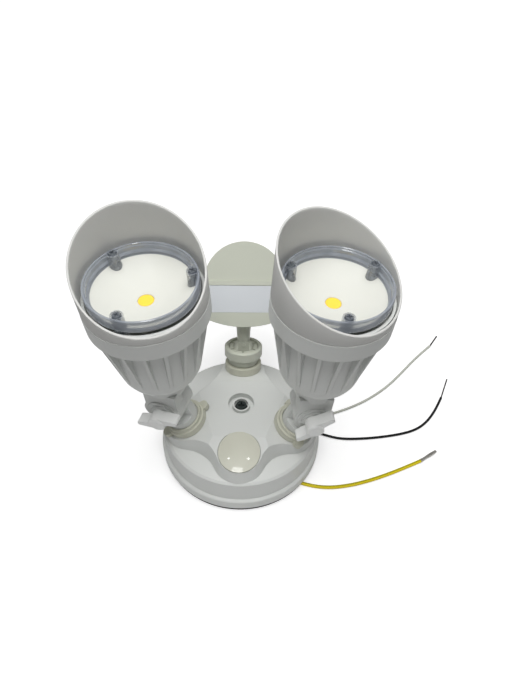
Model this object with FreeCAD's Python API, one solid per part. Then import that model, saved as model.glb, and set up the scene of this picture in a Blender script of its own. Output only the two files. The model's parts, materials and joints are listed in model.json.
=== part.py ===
import FreeCAD, Part
import math
import os

os.makedirs("parts", exist_ok=True)

V = FreeCAD.Vector
X_AXIS = V(1, 0, 0)
Y_AXIS = V(0, 1, 0)
Z_AXIS = V(0, 0, 1)

# Fits
RUN_GAP = 0.08          # radial running clearance of turning fits
FACE_GAP = 0.10         # gap between faces that slide on each other
LOOSE_GAP = 0.40        # clearance of parts that only pass each other
SEAT = 0.02             # gap between faces that rest on each other
PAST = 1.0              # how far a cutter runs past the face that it opens
FAR = 200.0             # reach of a cutter that clears a whole side

# Canopy, measured from the back of the gasket (z = 0)
GASKET_H = 3.6
GASKET_INSET = 1.0      # gasket edge inside the rim
GASKET_LIP_GAP = 0.8    # gasket bore outside the lip of the rim
RIM_R = 62.5
RIM_SIDE_H = 7.4
RIM_ROUND = 0.8
RIM_ROUND_H = 1.3
RIM_STEP = 2.6          # ledge from the rim in to the foot of the wall
RIM_EDGE_H = 0.5        # rise of the ledge
WALL_H = 19.3
WALL_DRAFT = 0.5
DECK_ROUND = 1.4
DECK_ROUND_OUT = 0.3
DECK_RISE = 1.6
DECK_BULGE = 0.7        # share of the deck's rise that is reached at the lobes
SHELL_T = 2.6
RIM_LIP_W = 7.0
RIM_LIP_H = 2.4
RIM_INNER_STEP_H = 2.0
RIM_INNER_DRAFT = 0.4

# Threaded spigot of a port, its lock ring and the stem flange
STEM_R = 11.3
FLANGE_W = 1.0
FLANGE_H = 2.0
SPIGOT_W = 0.5          # spigot outside the flange that it carries
SPIGOT_H = 4.0
SPIGOT_ROOT = 1.0       # spigot sunk into the lobe
PORT_BORE_R = 7.5
PORT_BORE_DEPTH = 8.0
PILOT_L = 3.0           # part of a stem that reaches into the port
SEAL_W = 1.6
SEAL_H = 1.2
SEAL_INSET = 2.4
SEAL_PLAY = 0.05
SEAL_GROOVE_PLAY = 0.25
RING_WALL = 2.02
RING_LIP_H = 1.8
RING_FOOT_GAP = 0.3
RING_STEP_DOWN = 2.6    # bevelled step below the top of the ring
RING_STEP_BEVEL = 0.4
RING_STEP_IN = 1.3
RING_TOP_IN = 1.6
EAR_OUT = 4.5
EAR_W = 7.2
EAR_H = 3.8
EAR_FOOT = 0.5
EAR_ROOT = 0.5

# Hub on the canopy: four lobes with a flat top between them
HUB_H = 17.0
PORT_OUT = 2.5          # port face centre outside the lobe centre
LOBE_MARGIN = 1.1       # lobe outside the lock ring
LOBE_DRAFT = 3.4
DECK_LEDGE = 1.0        # deck left outside the lobes
HUB_SINK = 4.0          # hub block sunk below the deck edge
HUB_OVER = 6.0          # hub block above the flat top, cut off by the port faces
HUB_TOP_T = 3.0         # wall under the flat top
PORT_AZ = {"sensor": 91.2, "left": 200.0, "plug": 271.3, "right": 340.0}
PORT_TILT = {"sensor": 15.0, "left": 21.5, "plug": 15.0, "right": 21.5}
PORT_DROP = {"sensor": 5.3, "left": 5.3, "plug": 3.0, "right": 5.3}   # face centre below the flat top
WAIST_R = {"sensor": 57.4, "left": 32.2, "plug": 26.2, "right": 66.5}   # waist after each port
LAMPS = ("left", "right")

# Lamp arm: stem, two knuckles and the wing screw
PIVOT_H = 30.7
ELBOW_CANT = 6.9
KNUCKLE_R = 13.4
KNUCKLE_W = 10.6
ARM_RELIEF = 4.1        # free space round a knuckle
WEB_INSET = 1.8
WEB_BACK_INSET = 0.4
WEB_FRONT = 6.0
NECK_ROOT = 3.0
BORE_R = 4.2
BORE_OFF = 1.5          # wire bore of the stem, off the middle
NECK_BORE_OFF = 2.0
SCREW_R = 2.5
NUT_HALF = 4.2
NUT_T = 4.0
NUT_INSET = 0.1
SHAFT_INSET = 0.4
BOSS_R = 7.8
BOSS_H = 2.0
FACE_RING_IN = 2.6      # raised ring inside the edge of the front knuckle
FACE_RING_H = 0.9
WING_HUB_R = 6.0
WING_HUB_L = 8.8
WING_DOME_H = 0.8
WING_DOME_IN = 1.2
WING_SPAN = 31.0
WING_T = 7.8
WING_TIP_T = 3.6
WING_ROOT_T = 7.0
WING_FOOT = 0.5
WING_EDGE = 0.9         # corner taken off at the tip of a wing

# Lamp head, measured along its axis from the joint of heat sink and hood
NECK_END = 36.3         # from the pivot to the end of the heat sink
HEAD_BACK = 2.3
HOOD_TURN = -143.5
HOOD_OUT = 1.4          # hood outside the top of the fins
HOOD_T = 1.9
HOOD_CUT_MID = 22.0
HOOD_SLANT = 25.4
COLLAR_L = 12.5
COLLAR_OUT = 0.2        # collar outside the hood
COLLAR_BEVEL = 0.6
COLLAR_EDGE = 0.8
SINK_TOP_R = 34.6
SINK_TAPER = 8.6
SINK_END = 63.0
SINK_ROUND = 5.0
SINK_ROUND_IN = 1.4
SINK_ROUND_UP = 1.6
SINK_WALL = 3.4
SINK_FLOOR_T = 9.0
FIN_COUNT = 18
FIN_T = 2.4
FIN_H = 4.8             # height of a fin under the collar; it runs out at the end of the heat sink
FIN_TOP_GAP = 1.2
FIN_FADE = 0.5          # floor between the fins outside the end edge, so that it runs out above it
NECK_R = 14.0
NECK_TOP_R = 16.0
NECK_RIM_H = 4.0
FLOOR_T = 5.2
SHELF_T = 3.8
SPIGOT_WALL = 1.7
HEAD_SPIGOT_H = 4.6
BOARD_R = 11.0
BOARD_T = 1.6
BOARD_MARGIN = 3.0
EMITTER_R = 4.7
EMITTER_T = 0.8
EMITTER_DRAFT = 0.3
EMITTER_MARGIN = 1.3
COVER_GAP = 0.52        # lens cover inside the spigot of the heat sink
COVER_WINDOW_T = 2.0
COVER_RIM_W = 2.6
COVER_RIM_H = 5.38
COVER_RIM_ROOT = 0.5
DISH_GAP = 0.4
DISH_TOP = 6.2
DISH_T = 1.2
DISH_FLANGE = 2.0
DISH_FLAT = 0.35        # share of the dish's rise that is straight; the rest is a parabola
DISH_STEPS = 8
LENS_SCREW_COUNT = 3
LENS_BOSS_R = 3.6
LENS_BOSS_INSET = 0.2
LENS_BOSS_H = 4.4
LENS_SCREW_R = 1.5
LENS_SCREW_L = 6.5      # thread in the heat sink
LENS_SCREW_HEAD_R = 2.6
LENS_SCREW_HEAD_H = 1.7
LENS_SCREW_DRAFT = 0.7
LENS_SLOT_R = 1.5
LENS_SLOT_HALF = 0.3
LENS_SLOT_FLOOR = 0.8
LENS_HOLE_DEPTH = 7.0

# Pose of the two lamps in the picture: swivel of the arm from the port's own direction, tilt of the head,
# turn of wing screw and lock ring
LAMP_POSE = {
    "left": {"arm": 52.7, "tilt": -17.1, "wing": -12.0, "ring": 32.0},
    "right": {"arm": -61.3, "tilt": 17.1, "wing": 46.0, "ring": 105.0},
}

# Motion sensor: stem with the ball joint
BALL_H = 17.0
BALL_R = 8.6
SOCKET_DEPTH = 4.5
SOCKET_FLOOR = 6.8
SENSOR_NECK_OUT = 0.6   # socket outside the stem
SENSOR_NECK_GAP = 0.3
SENSOR_NECK_EDGE = 0.2
PILOT_WALL = 1.5
SOCKET_BORE_IN = 2.0
NUT_BELOW = 4.6         # collar nut below and above the ball centre
NUT_ABOVE = 4.0
NUT_WALL = 3.0
NUT_LIP = 0.3
NUT_LIP_H = 1.2
NUT_CONE_H = 3.0
NUT_EDGE = 0.8
NUT_FOOT_BEVEL = 1.2
COLLET_T = 1.5
COLLET_GAP = 0.35
COLLET_DEPTH = 1.6
COLLET_FOOT = 0.2
COLLET_TOP_GAP = 0.9
COLLET_SLOTS = 6
COLLET_SLOT_W = 1.4
COLLET_SLOT_FOOT = 1.4
COLLET_SLOT_IN = 5.0
SENSOR_STEM_R = 5.7
SENSOR_WAIST_R = 5.0    # neck where it leaves the ball
WAIST_END = 9.5
WAIST_TOP = 19.0
POCKET_HALF = 4.1       # flat pocket on the front of the ball
POCKET_FLOOR = 4.3
POCKET_TOP = 8.4
POCKET_FOOT = -3.0
POCKET_BOSS_R = 1.5
POCKET_BOSS_H = 0.8
POCKET_BOSS_UP = 4.6
NECK_BORE_R = 2.6
NECK_START = 4.0
NECK_FLANGE_W = 2.2
NECK_FLANGE_T = 1.8
SENSOR_EL = 60.0
SENSOR_PAN = 3.0
SENSOR_FLANGE_H = 1.2
SENSOR_LIP_H = 1.3
SENSOR_RING_WALL = 1.6
SENSOR_RING_EDGE = 0.7

# Motion sensor: head
SENSOR_LEN = 56.6       # from the ball centre to the middle of the head
HEAD_R = 30.0
HEAD_BACK_LEN = 33.6
HEAD_BACK_IN = 4.0      # corner of the squarer back inside the round front
HEAD_BACK_RISE = 5.0
HEAD_DRAFT = 5.6        # the drum narrows by this from the label side to the far side
FRONT_STEP = 0.8        # front half of the face below the label half
HEAD_SIDE_IN = 1.2
HEAD_SIDE_DOWN = 14.0
HEAD_T = 40.0
SENSOR_WALL = 2.0
SPLIT_Y = 1.5
COLLAR_IN = 6.0
COLLAR_WALL = 2.4
LENS_BAND_H = 25.0
LENS_BAND_T = 1.0
LENS_BAND_IN = 0.35
LENS_BAND_START = 2.5
SENSOR_BOARD_Y = -3.0
SENSOR_BOARD_IN = 8.5
SENSOR_BOARD_EDGE = 4.0
SENSOR_POST_R = 2.6
SENSOR_POST_X = 16.0
SENSOR_POST_Z = 11.0
SENSOR_POST_ROOT = 1.5
PIR_R = 4.6
PIR_H = 4.2
DIAL_NAMES = ("time", "light", "range")
DIAL_STEP = 14.0
DIAL_UP = 19.0          # dials from the back end of the head
DIAL_R = 4.6
DIAL_GAP = 0.3
DIAL_H = 3.4
DIAL_OUT = 0.6
DIAL_STEM_R = 1.6
DIAL_STEM_L = 8.5
DIAL_SLOT_R = 3.4
DIAL_SLOT_W = 1.0
DIAL_SLOT_DEPTH = 1.2
POT_HALF = 5.0
POT_FOOT = 9.0
POT_H = 4.5
LABEL_INSET = 4.0
LABEL_UP = 11.2         # label from the back end of the head
LABEL_H = 20.2
LABEL_T = 0.25
LABEL_POCKET = 0.45
LABEL_PLAY = 0.2

# Centre screw and its seat
SCREW_HEAD_R = 4.9
SCREW_HEAD_H = 2.6
SCREW_HEAD_DRAFT = 0.9
SCREW_HEAD_SUNK = 0.4
BOSS_RING_WALL = 1.3
BOSS_RING_H = 3.2
RECESS_MOAT = 3.1
RECESS_WALL = 2.2
RECESS_DEPTH = 4.6
MOUNT_SCREW_R = 2.0
MOUNT_SCREW_END = 2.0
MOUNT_HOLE_L = 10.0
SHANK_R = 2.6           # plain shank of the mounting screw where it passes the canopy
CROSS_R = 2.6
CROSS_HALF = 0.55
CROSS_FLOOR = 0.9

# Plug of the unused port
PLUG_GAP = 0.35
PLUG_POCKET = 1.4
PLUG_EDGE_H = 1.9
PLUG_DOME = 1.5
PLUG_SHANK_L = 7.0
PLUG_WALL = 2.2
PLUG_BOSS_H = 5.0
PLUG_BORE_DEPTH = 9.0

# Driver board in the canopy
PCB_INSET = 2.5         # board inside the lip of the rim
PCB_DOWN = 11.0         # board below the deck edge
PCB_T = 1.6
PCB_HOLE_R = 8.0
STANDOFF_R = 3.2
STANDOFF_ROOT = 1.6
STANDOFF_BORE_R = 1.3
STANDOFF_BORE_L = 7.0
STANDOFFS = ((35.0, 9.0), (145.0, 9.0), (235.0, 4.0))   # azimuth and inset from the board's edge
BOARD_SCREW_R = 1.25
BOARD_SCREW_L = 5.0
BOARD_SCREW_HEAD_R = 2.6
BOARD_SCREW_HEAD_H = 2.0
BOARD_HOLE_R = 1.6
TRANSFORMER_AT = (-25.0, 0.0)
TRANSFORMER_BASE = (18.0, 18.0, 2.0)
TRANSFORMER_CORE = (14.0, 21.0, 12.5)
RELAY_AT = (-5.5, 25.0)
RELAY_SIZE = (19.0, 10.0, 15.0)
CAPACITOR_R = 4.0
CAPACITOR_H = 13.0
CAPACITORS_AT = ((-12.0, -24.0), (-2.0, -27.0))
TERMINAL_W = 0.9
TERMINAL_PLAY = 0.05
TERMINAL_BACK = 1.2     # crimp sleeve behind and ahead of the start of the lead
TERMINAL_L = 3.0
TERMINAL_POST_R = 1.2

# Leads
LEAD_R = {"white": 1.05, "black": 1.05, "ground": 1.4}
TIP_R = {"white": 0.65, "black": 0.55, "ground": 1.1}
LEAD_DROP = 1.2         # start of a lead below the board
LEAD_LIFT = 0.02
LEAD_BEND = 0.45        # share of a run that the arc at its end takes
DENT_PLAY = 0.2
TIP_GAP = 0.2           # from the cover of a lead to its stripped end
DENT_REACH = 1.6        # length of a dent as a share of the run through the gasket
LEAD_IN = {
    "white": [(27.0, 9.0), (45.0, 17.0)],
    "black": [(27.0, 4.0), (47.0, 14.6)],
    "ground": [(13.0, -23.0), (32.0, -33.0)],
}
LEAD_RUN = {
    "white": [(60.0, 23.4), (79.3, 31.7), (92.8, 37.9), (108.8, 47.5), (125.9, 61.5),
              (138.2, 74.6), (151.2, 90.2), (164.7, 105.9), (177.5, 118.7)],
    "black": [(60.0, 11.0), (72.9, 6.7), (81.0, 5.1), (90.0, 5.0), (104.3, 6.4), (118.9, 8.9),
              (132.8, 12.2), (144.4, 16.4), (153.6, 22.6), (161.6, 31.4), (169.4, 43.0), (175.2, 53.7)],
    "ground": [(46.0, -37.4), (58.0, -40.4), (71.0, -41.0), (86.3, -38.2), (99.9, -33.9),
               (114.0, -28.3), (129.0, -21.4), (144.5, -13.6)],
}
TIP_END = {"white": (187.2, 133.2), "black": (185.4, 76.4), "ground": (159.0, -3.6)}

# Sizes that follow from the ones above
FLANGE_R = STEM_R + FLANGE_W
SPIGOT_R = FLANGE_R + SPIGOT_W
RING_BORE_R = SPIGOT_R + RUN_GAP
RING_R = RING_BORE_R + RING_WALL
EAR_REACH = RING_R + EAR_OUT
SEAL_MID_R = SPIGOT_R - SEAL_INSET
SEAL_OUT_R = SEAL_MID_R + SEAL_W / 2
SEAL_IN_R = SEAL_MID_R - SEAL_W / 2
FLANGE_FOOT = SPIGOT_H + SEAT
FLANGE_TOP = FLANGE_FOOT + FLANGE_H
RING_TOP = FLANGE_TOP + FACE_GAP + RING_LIP_H
PILOT_R = PORT_BORE_R - RUN_GAP
WALL_FOOT_R = RIM_R - RIM_STEP
WALL_FOOT_Z = GASKET_H + RIM_SIDE_H + RIM_ROUND_H
DECK_EDGE_R = WALL_FOOT_R - WALL_DRAFT
DECK_EDGE_Z = WALL_FOOT_Z + WALL_H
RIM_LIP_R = RIM_R - RIM_LIP_W
PLATEAU_Z = DECK_EDGE_Z + HUB_H
LOBE_R = RING_R + LOBE_MARGIN
LOBE_DIST = DECK_EDGE_R - DECK_LEDGE - LOBE_R - LOBE_DRAFT
PORT_DIST = LOBE_DIST + PORT_OUT
PLUG_R = RING_R
ARM_RELIEF_R = KNUCKLE_R + ARM_RELIEF
WEB_HALF = KNUCKLE_R - WEB_INSET
HEAD_UP = NECK_END + SINK_END
SINK_END_R = SINK_TOP_R - SINK_TAPER
HOOD_R = SINK_TOP_R + HOOD_OUT
COLLAR_R = HOOD_R + COLLAR_OUT
HEAD_SPIGOT_R = HOOD_R - HOOD_T - RUN_GAP
POCKET_R = HEAD_SPIGOT_R - SPIGOT_WALL
COVER_R = POCKET_R - COVER_GAP
DISH_R = COVER_R - COVER_RIM_W - DISH_GAP
DISH_HOLE_R = EMITTER_R + EMITTER_MARGIN
BOARD_FOOT = -FLOOR_T + SEAT
EMITTER_FOOT = BOARD_FOOT + BOARD_T + SEAT
COVER_FOOT = DISH_TOP + SEAT
WINDOW_TOP = COVER_FOOT + COVER_WINDOW_T
COVER_RIM_TOP = WINDOW_TOP + COVER_RIM_H
LENS_BOSS_DIST = COVER_R - LENS_BOSS_R - LENS_BOSS_INSET
LENS_BOSS_TOP = WINDOW_TOP + LENS_BOSS_H
SENSOR_NECK_R = STEM_R + SENSOR_NECK_OUT
SENSOR_FLANGE_TOP = FLANGE_FOOT + SENSOR_FLANGE_H
SENSOR_RING_TOP = SENSOR_FLANGE_TOP + FACE_GAP + SENSOR_LIP_H
SENSOR_RING_R = RING_BORE_R + SENSOR_RING_WALL
NUT_FOOT = BALL_H - NUT_BELOW
NUT_TOP = BALL_H + NUT_ABOVE
NUT_BORE_R = SENSOR_NECK_R + RUN_GAP
NUT_R = NUT_BORE_R + NUT_WALL
NUT_MOUTH_R = SENSOR_NECK_R - NUT_LIP
LABEL_W = 2 * (HEAD_R - LABEL_INSET)
LABEL_Y0 = LABEL_UP - HEAD_BACK_LEN
DIAL_X = (-DIAL_STEP, 0.0, DIAL_STEP)
DIAL_Y = DIAL_UP - HEAD_BACK_LEN
BOSS_RING_R = SCREW_HEAD_R + LOOSE_GAP + BOSS_RING_WALL
RECESS_R = BOSS_RING_R + RECESS_MOAT
RECESS_FLOOR = PLATEAU_Z - RECESS_DEPTH
PCB_R = RIM_LIP_R - PCB_INSET
PCB_Z = DECK_EDGE_Z - PCB_DOWN
LEAD_START_Z = PCB_Z - LEAD_DROP


def rad(deg):
    return math.radians(deg)


def unit(v):
    return v.multiply(1.0 / v.Length)


def along(v, dist):
    """Copy of a vector, times a length."""
    return V(v).multiply(dist)


def polar(dist, az, z=0.0):
    return V(dist * math.cos(rad(az)), dist * math.sin(rad(az)), z)


def turned(v, axis, deg):
    return FreeCAD.Rotation(axis, deg).multVec(v)


def cyl(r, z0, z1, x=0.0, y=0.0):
    return Part.makeCylinder(r, z1 - z0, V(x, y, z0), Z_AXIS)


def x_cyl(r, x0, x1, y=0.0, z=0.0):
    return Part.makeCylinder(r, x1 - x0, V(x0, y, z), X_AXIS)


def y_cyl(r, y0, y1, x=0.0, z=0.0):
    return Part.makeCylinder(r, y1 - y0, V(x, y0, z), Y_AXIS)


def tube(r_out, r_in, z0, z1):
    return cyl(r_out, z0, z1).cut(cyl(r_in, z0 - PAST, z1 + PAST))


def cone(r0, r1, z0, z1, x=0.0, y=0.0):
    return Part.makeCone(r0, r1, z1 - z0, V(x, y, z0), Z_AXIS)


def box(x0, x1, y0, y1, z0, z1):
    return Part.makeBox(x1 - x0, y1 - y0, z1 - z0, V(x0, y0, z0))


def slab(z0, z1):
    """Everything between two heights."""
    return box(-FAR, FAR, -FAR, FAR, z0, z1)


def y_slab(y0, y1):
    return box(-FAR, FAR, y0, y1, -FAR, FAR)


def block_at(x, y, size, top):
    """Box of a given size, centred at x and y, hanging from a height."""
    wide, deep, tall = size
    return box(x - wide / 2, x + wide / 2, y - deep / 2, y + deep / 2, top - tall, top)


def revolve(points):
    """Solid of revolution about Z of a closed outline given as (radius, height)."""
    loop = [V(r, 0, z) for r, z in points]
    face = Part.Face(Part.makePolygon(loop + [loop[0]]))
    return face.revolve(V(0, 0, 0), Z_AXIS, 360)


def cut_all(body, cutters):
    return body.cut(Part.makeCompound(cutters))


def around(make, count, start=0.0):
    """Copies of a shape in even steps about Z."""
    out = []
    for k in range(count):
        shape = make()
        shape.rotate(V(0, 0, 0), Z_AXIS, start + k * 360.0 / count)
        out.append(shape)
    return out


def frame_at(origin, z_dir, x_dir):
    """Placement with local Z along z_dir and local X along x_dir."""
    z = unit(V(z_dir))
    x = unit(V(x_dir) - V(z).multiply(z.dot(x_dir)))
    y = z.cross(x)
    m = FreeCAD.Matrix(x.x, y.x, z.x, origin.x, x.y, y.y, z.y, origin.y, x.z, y.z, z.z, origin.z, 0, 0, 0, 1)
    return FreeCAD.Placement(m)


def placed(shape, frame):
    out = shape.copy()
    out.Placement = frame.multiply(shape.Placement)
    return out


def save(name, shapes):
    solids = shapes if isinstance(shapes, list) else [shapes]
    parts = []
    for s in solids:
        parts += s.Solids
    out = parts[0] if len(parts) == 1 else Part.makeCompound(parts)
    out.exportStep("parts/" + name + ".step")


# Ports of the hub
def port_axis(port):
    """Centre of a port on the lobe face and the way it points."""
    az = PORT_AZ[port]
    lean = rad(PORT_TILT[port])
    return polar(PORT_DIST, az, PLATEAU_Z - PORT_DROP[port]), polar(math.sin(lean), az, math.cos(lean))


def port_frame(port, down=0.0):
    """Frame of a port: Z out of its face, X away from the middle of the canopy."""
    origin, out_dir = port_axis(port)
    return frame_at(origin - along(out_dir, down), out_dir, polar(1, PORT_AZ[port]))


def cross_frame(port):
    """Frame of a port with X across, toward the next azimuth below."""
    origin, out_dir = port_axis(port)
    return frame_at(origin, out_dir, polar(1, PORT_AZ[port] - 90))


def ring_frame(port, turn):
    """Frame of a lock ring whose ears lie at a turn from the canopy's +Y."""
    origin, out_dir = port_axis(port)
    return frame_at(origin, out_dir, turned(Y_AXIS, out_dir, turn))


# Canopy outline of the hub: convex lobe arcs joined by concave waist arcs
def waist_centre(gap_deg, waist_r):
    """Distance of the centre of a waist arc, whose circle touches the two lobes beside it."""
    half = rad(gap_deg / 2)
    reach = math.sqrt((LOBE_R + waist_r) ** 2 - (LOBE_DIST * math.sin(half)) ** 2)
    return LOBE_DIST * math.cos(half) + reach


def hub_wire(grow, z):
    order = list(PORT_AZ)
    touch = []
    for i, port in enumerate(order):
        a0 = PORT_AZ[port]
        gap = (PORT_AZ[order[(i + 1) % len(order)]] - a0) % 360
        waist_r = WAIST_R[port]
        d = waist_centre(gap, waist_r)
        mid = a0 + gap / 2
        c = polar(d, mid, z)
        lobe0 = polar(LOBE_DIST, a0, z)
        lobe1 = polar(LOBE_DIST, a0 + gap, z)
        t0 = lobe0 + unit(c - lobe0).multiply(LOBE_R + grow)
        t1 = lobe1 + unit(c - lobe1).multiply(LOBE_R + grow)
        touch.append((t0, polar(d - waist_r + grow, mid, z), t1))
    edges = []
    for i, port in enumerate(order):
        end = polar(LOBE_DIST + LOBE_R + grow, PORT_AZ[port], z)
        edges.append(Part.Arc(touch[i - 1][2], end, touch[i][0]).toShape())
        edges.append(Part.Arc(*touch[i]).toShape())
    return Part.Wire(edges)


def hub_solid(grow, z_foot, z_head, drop):
    """Drafted clover block whose top is cut by the plateau and the four port planes."""
    foot_grow = grow + LOBE_DRAFT * (PLATEAU_Z - z_foot) / HUB_H
    head_grow = grow + LOBE_DRAFT * (PLATEAU_Z - z_head) / HUB_H
    block = Part.makeLoft([hub_wire(foot_grow, z_foot), hub_wire(head_grow, z_head)], True, True)
    block = block.cut(slab(PLATEAU_Z - drop, z_head + FAR))
    for port in PORT_AZ:
        reach = LOBE_R + LOBE_DRAFT + PORT_OUT
        keep_out = box(-2 * reach, FAR, -FAR, FAR, 0, FAR)
        block = block.cut(placed(keep_out, port_frame(port, drop)))
    return block


def shell_outside():
    """Outline of the round part of the canopy."""
    return [(0, GASKET_H), (RIM_R, GASKET_H), (RIM_R, GASKET_H + RIM_SIDE_H),
            (RIM_R - RIM_ROUND, WALL_FOOT_Z - RIM_EDGE_H), (WALL_FOOT_R, WALL_FOOT_Z),
            (DECK_EDGE_R + DECK_ROUND_OUT, DECK_EDGE_Z - DECK_ROUND), (DECK_EDGE_R - DECK_ROUND, DECK_EDGE_Z),
            (LOBE_DIST, DECK_EDGE_Z + DECK_RISE * DECK_BULGE), (0, DECK_EDGE_Z + DECK_RISE)]


def shell_inside():
    """Outline of the hollow of the round part, one wall thickness in, open at the back inside the lip."""
    z_deck = DECK_EDGE_Z - SHELL_T
    return [(0, GASKET_H - PAST), (RIM_LIP_R, GASKET_H - PAST), (RIM_LIP_R, GASKET_H + RIM_LIP_H),
            (RIM_R - SHELL_T, GASKET_H + RIM_LIP_H + RIM_INNER_STEP_H),
            (RIM_R - SHELL_T - RIM_INNER_DRAFT, GASKET_H + RIM_SIDE_H - SHELL_T),
            (WALL_FOOT_R - SHELL_T, WALL_FOOT_Z - SHELL_T), (DECK_EDGE_R - SHELL_T, z_deck),
            (LOBE_DIST, z_deck + DECK_RISE * DECK_BULGE), (0, z_deck + DECK_RISE)]


def lamp_port_shapes(port):
    """Spigot of a port in use, with what is cut from it: the wire bore and the groove of the seal."""
    f = port_frame(port)
    groove = tube(SEAL_OUT_R, SEAL_IN_R, SPIGOT_H - SEAL_H + SEAL_GROOVE_PLAY, SPIGOT_H + PAST)
    bore = cyl(PORT_BORE_R, -PORT_BORE_DEPTH, SPIGOT_H + PAST)
    return [placed(cyl(SPIGOT_R, -SPIGOT_ROOT, SPIGOT_H), f)], [placed(bore, f), placed(groove, f)]


def plug_port_shapes():
    """Boss inside the unused port, with the pocket and bore of its plug."""
    f = port_frame("plug")
    pocket = cyl(PLUG_R + PLUG_GAP, -PLUG_POCKET, PLUG_POCKET + PLUG_EDGE_H)
    bore = cyl(PORT_BORE_R, -PLUG_BORE_DEPTH, PAST)
    return [placed(cyl(SPIGOT_R, -PLUG_BOSS_H, -SPIGOT_ROOT), f)], [placed(pocket, f), placed(bore, f)]


def screw_seat_shapes():
    """Seat of the centre screw: a boss in a round moat, with a counterbore and a through hole."""
    top = PLATEAU_Z + PAST
    wall = cyl(RECESS_R + RECESS_WALL, RECESS_FLOOR - SHELL_T, PLATEAU_Z - PAST)
    moat = tube(RECESS_R, BOSS_RING_R, RECESS_FLOOR, top)
    lowered = cyl(BOSS_RING_R + RUN_GAP, RECESS_FLOOR + BOSS_RING_H, top)
    counterbore = cyl(SCREW_HEAD_R + LOOSE_GAP, RECESS_FLOOR - SCREW_HEAD_SUNK, top)
    hole = cyl(SHANK_R + LOOSE_GAP, RECESS_FLOOR - MOUNT_HOLE_L, RECESS_FLOOR + PAST)
    return [wall], [moat, lowered, counterbore, hole]


def standoff_shapes():
    """Three standoffs of the driver board with their screw holes."""
    top = PCB_Z + PCB_T
    add = []
    cut = []
    for az, inset in STANDOFFS:
        p = polar(PCB_R - inset, az)
        add.append(cyl(STANDOFF_R, top + SEAT, DECK_EDGE_Z - SHELL_T + STANDOFF_ROOT, p.x, p.y))
        cut.append(cyl(STANDOFF_BORE_R, top - PAST, top + STANDOFF_BORE_L, p.x, p.y))
    return add, cut


def canopy():
    outside = revolve(shell_outside()).fuse(hub_solid(0.0, DECK_EDGE_Z - HUB_SINK, PLATEAU_Z + HUB_OVER, 0.0))
    hub_hollow = hub_solid(-SHELL_T, DECK_EDGE_Z - 2 * HUB_SINK, PLATEAU_Z + HUB_OVER, HUB_TOP_T)
    body = outside.cut(revolve(shell_inside()).fuse(hub_hollow))
    features = [lamp_port_shapes(port) for port in ("left", "right", "sensor")]
    features += [plug_port_shapes(), screw_seat_shapes(), standoff_shapes()]
    body = body.fuse([shape for add, cut in features for shape in add])
    return cut_all(body, [shape for add, cut in features for shape in cut]).removeSplitter()


# Lock ring: threaded over the spigot, its lip holding the stem flange down
def lock_ring():
    lip_bore = STEM_R + LOOSE_GAP
    top = RING_TOP
    step = top - RING_STEP_DOWN
    body = revolve([(RING_BORE_R, RING_FOOT_GAP), (RING_R, RING_FOOT_GAP), (RING_R, step),
                    (RING_R - RING_STEP_IN, step + RING_STEP_BEVEL), (RING_R - RING_TOP_IN, top),
                    (lip_bore, top), (lip_bore, top - RING_LIP_H), (RING_BORE_R, top - RING_LIP_H)])
    return body.fuse(around(ring_ear, 2)).removeSplitter()


def ring_ear():
    half = EAR_W / 2
    ear = box(-half, half, 0, EAR_REACH - half, EAR_FOOT, EAR_FOOT + EAR_H)
    ear = ear.fuse(cyl(half, EAR_FOOT, EAR_FOOT + EAR_H, 0, EAR_REACH - half))
    return ear.cut(cyl(RING_R - EAR_ROOT, -PAST, EAR_FOOT + EAR_H + PAST))


# Lamp arm
def lower_arm(stem_frame, knuckle_frame):
    """Stem standing on the port and the back knuckle of the pivot, whose axis is canted."""
    shoulder = PIVOT_H - ARM_RELIEF_R
    half = -FACE_GAP / 2
    flange = cyl(FLANGE_R, FLANGE_FOOT, FLANGE_TOP)
    pilot = cyl(PILOT_R, SPIGOT_H - PILOT_L, SPIGOT_H + PAST)
    stem = cyl(STEM_R, FLANGE_FOOT, shoulder)
    web = box(WEB_BACK_INSET - KNUCKLE_W, WEB_FRONT, -STEM_R, STEM_R, shoulder - PAST, PIVOT_H)
    web = web.common(cyl(STEM_R, 0, PIVOT_H + PAST))
    web = placed(web, stem_frame).cut(placed(box(half, FAR, -FAR, FAR, -FAR, FAR), knuckle_frame))
    knuckle = placed(x_cyl(KNUCKLE_R, -KNUCKLE_W, half), knuckle_frame)
    body = placed(stem.fuse([flange, pilot]), stem_frame).fuse([web, knuckle])
    bore = placed(cyl(BORE_R, 0, PIVOT_H - KNUCKLE_R + PAST, -BORE_OFF), stem_frame)
    hole = placed(x_cyl(SCREW_R + RUN_GAP, -2 * KNUCKLE_W, PAST), knuckle_frame)
    side = NUT_HALF + SEAT
    pocket = box(-KNUCKLE_W - PAST, -KNUCKLE_W + NUT_T + SEAT, -side, side, -side, side)
    return cut_all(body, [bore, hole, placed(pocket, knuckle_frame)]).removeSplitter()


def pivot_nut():
    """Square nut let into the back knuckle; local X is the pivot axis."""
    body = box(NUT_INSET - KNUCKLE_W, NUT_T - KNUCKLE_W, -NUT_HALF, NUT_HALF, -NUT_HALF, NUT_HALF)
    return body.cut(x_cyl(SCREW_R + RUN_GAP, -2 * KNUCKLE_W, PAST))


def wing_blade(foot):
    """One wing, flat on the side that touches the hub and slanted on the other."""
    top = WING_HUB_R
    tip = WING_SPAN / 2
    under = top - WING_TIP_T
    points = [(0, top), (tip - WING_EDGE, top), (tip, top - WING_EDGE), (tip, under + WING_EDGE),
              (tip - WING_EDGE, under), (0, top - WING_ROOT_T)]
    loop = [V(foot, y, z) for y, z in points]
    return Part.Face(Part.makePolygon(loop + [loop[0]])).extrude(V(WING_T, 0, 0))


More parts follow.
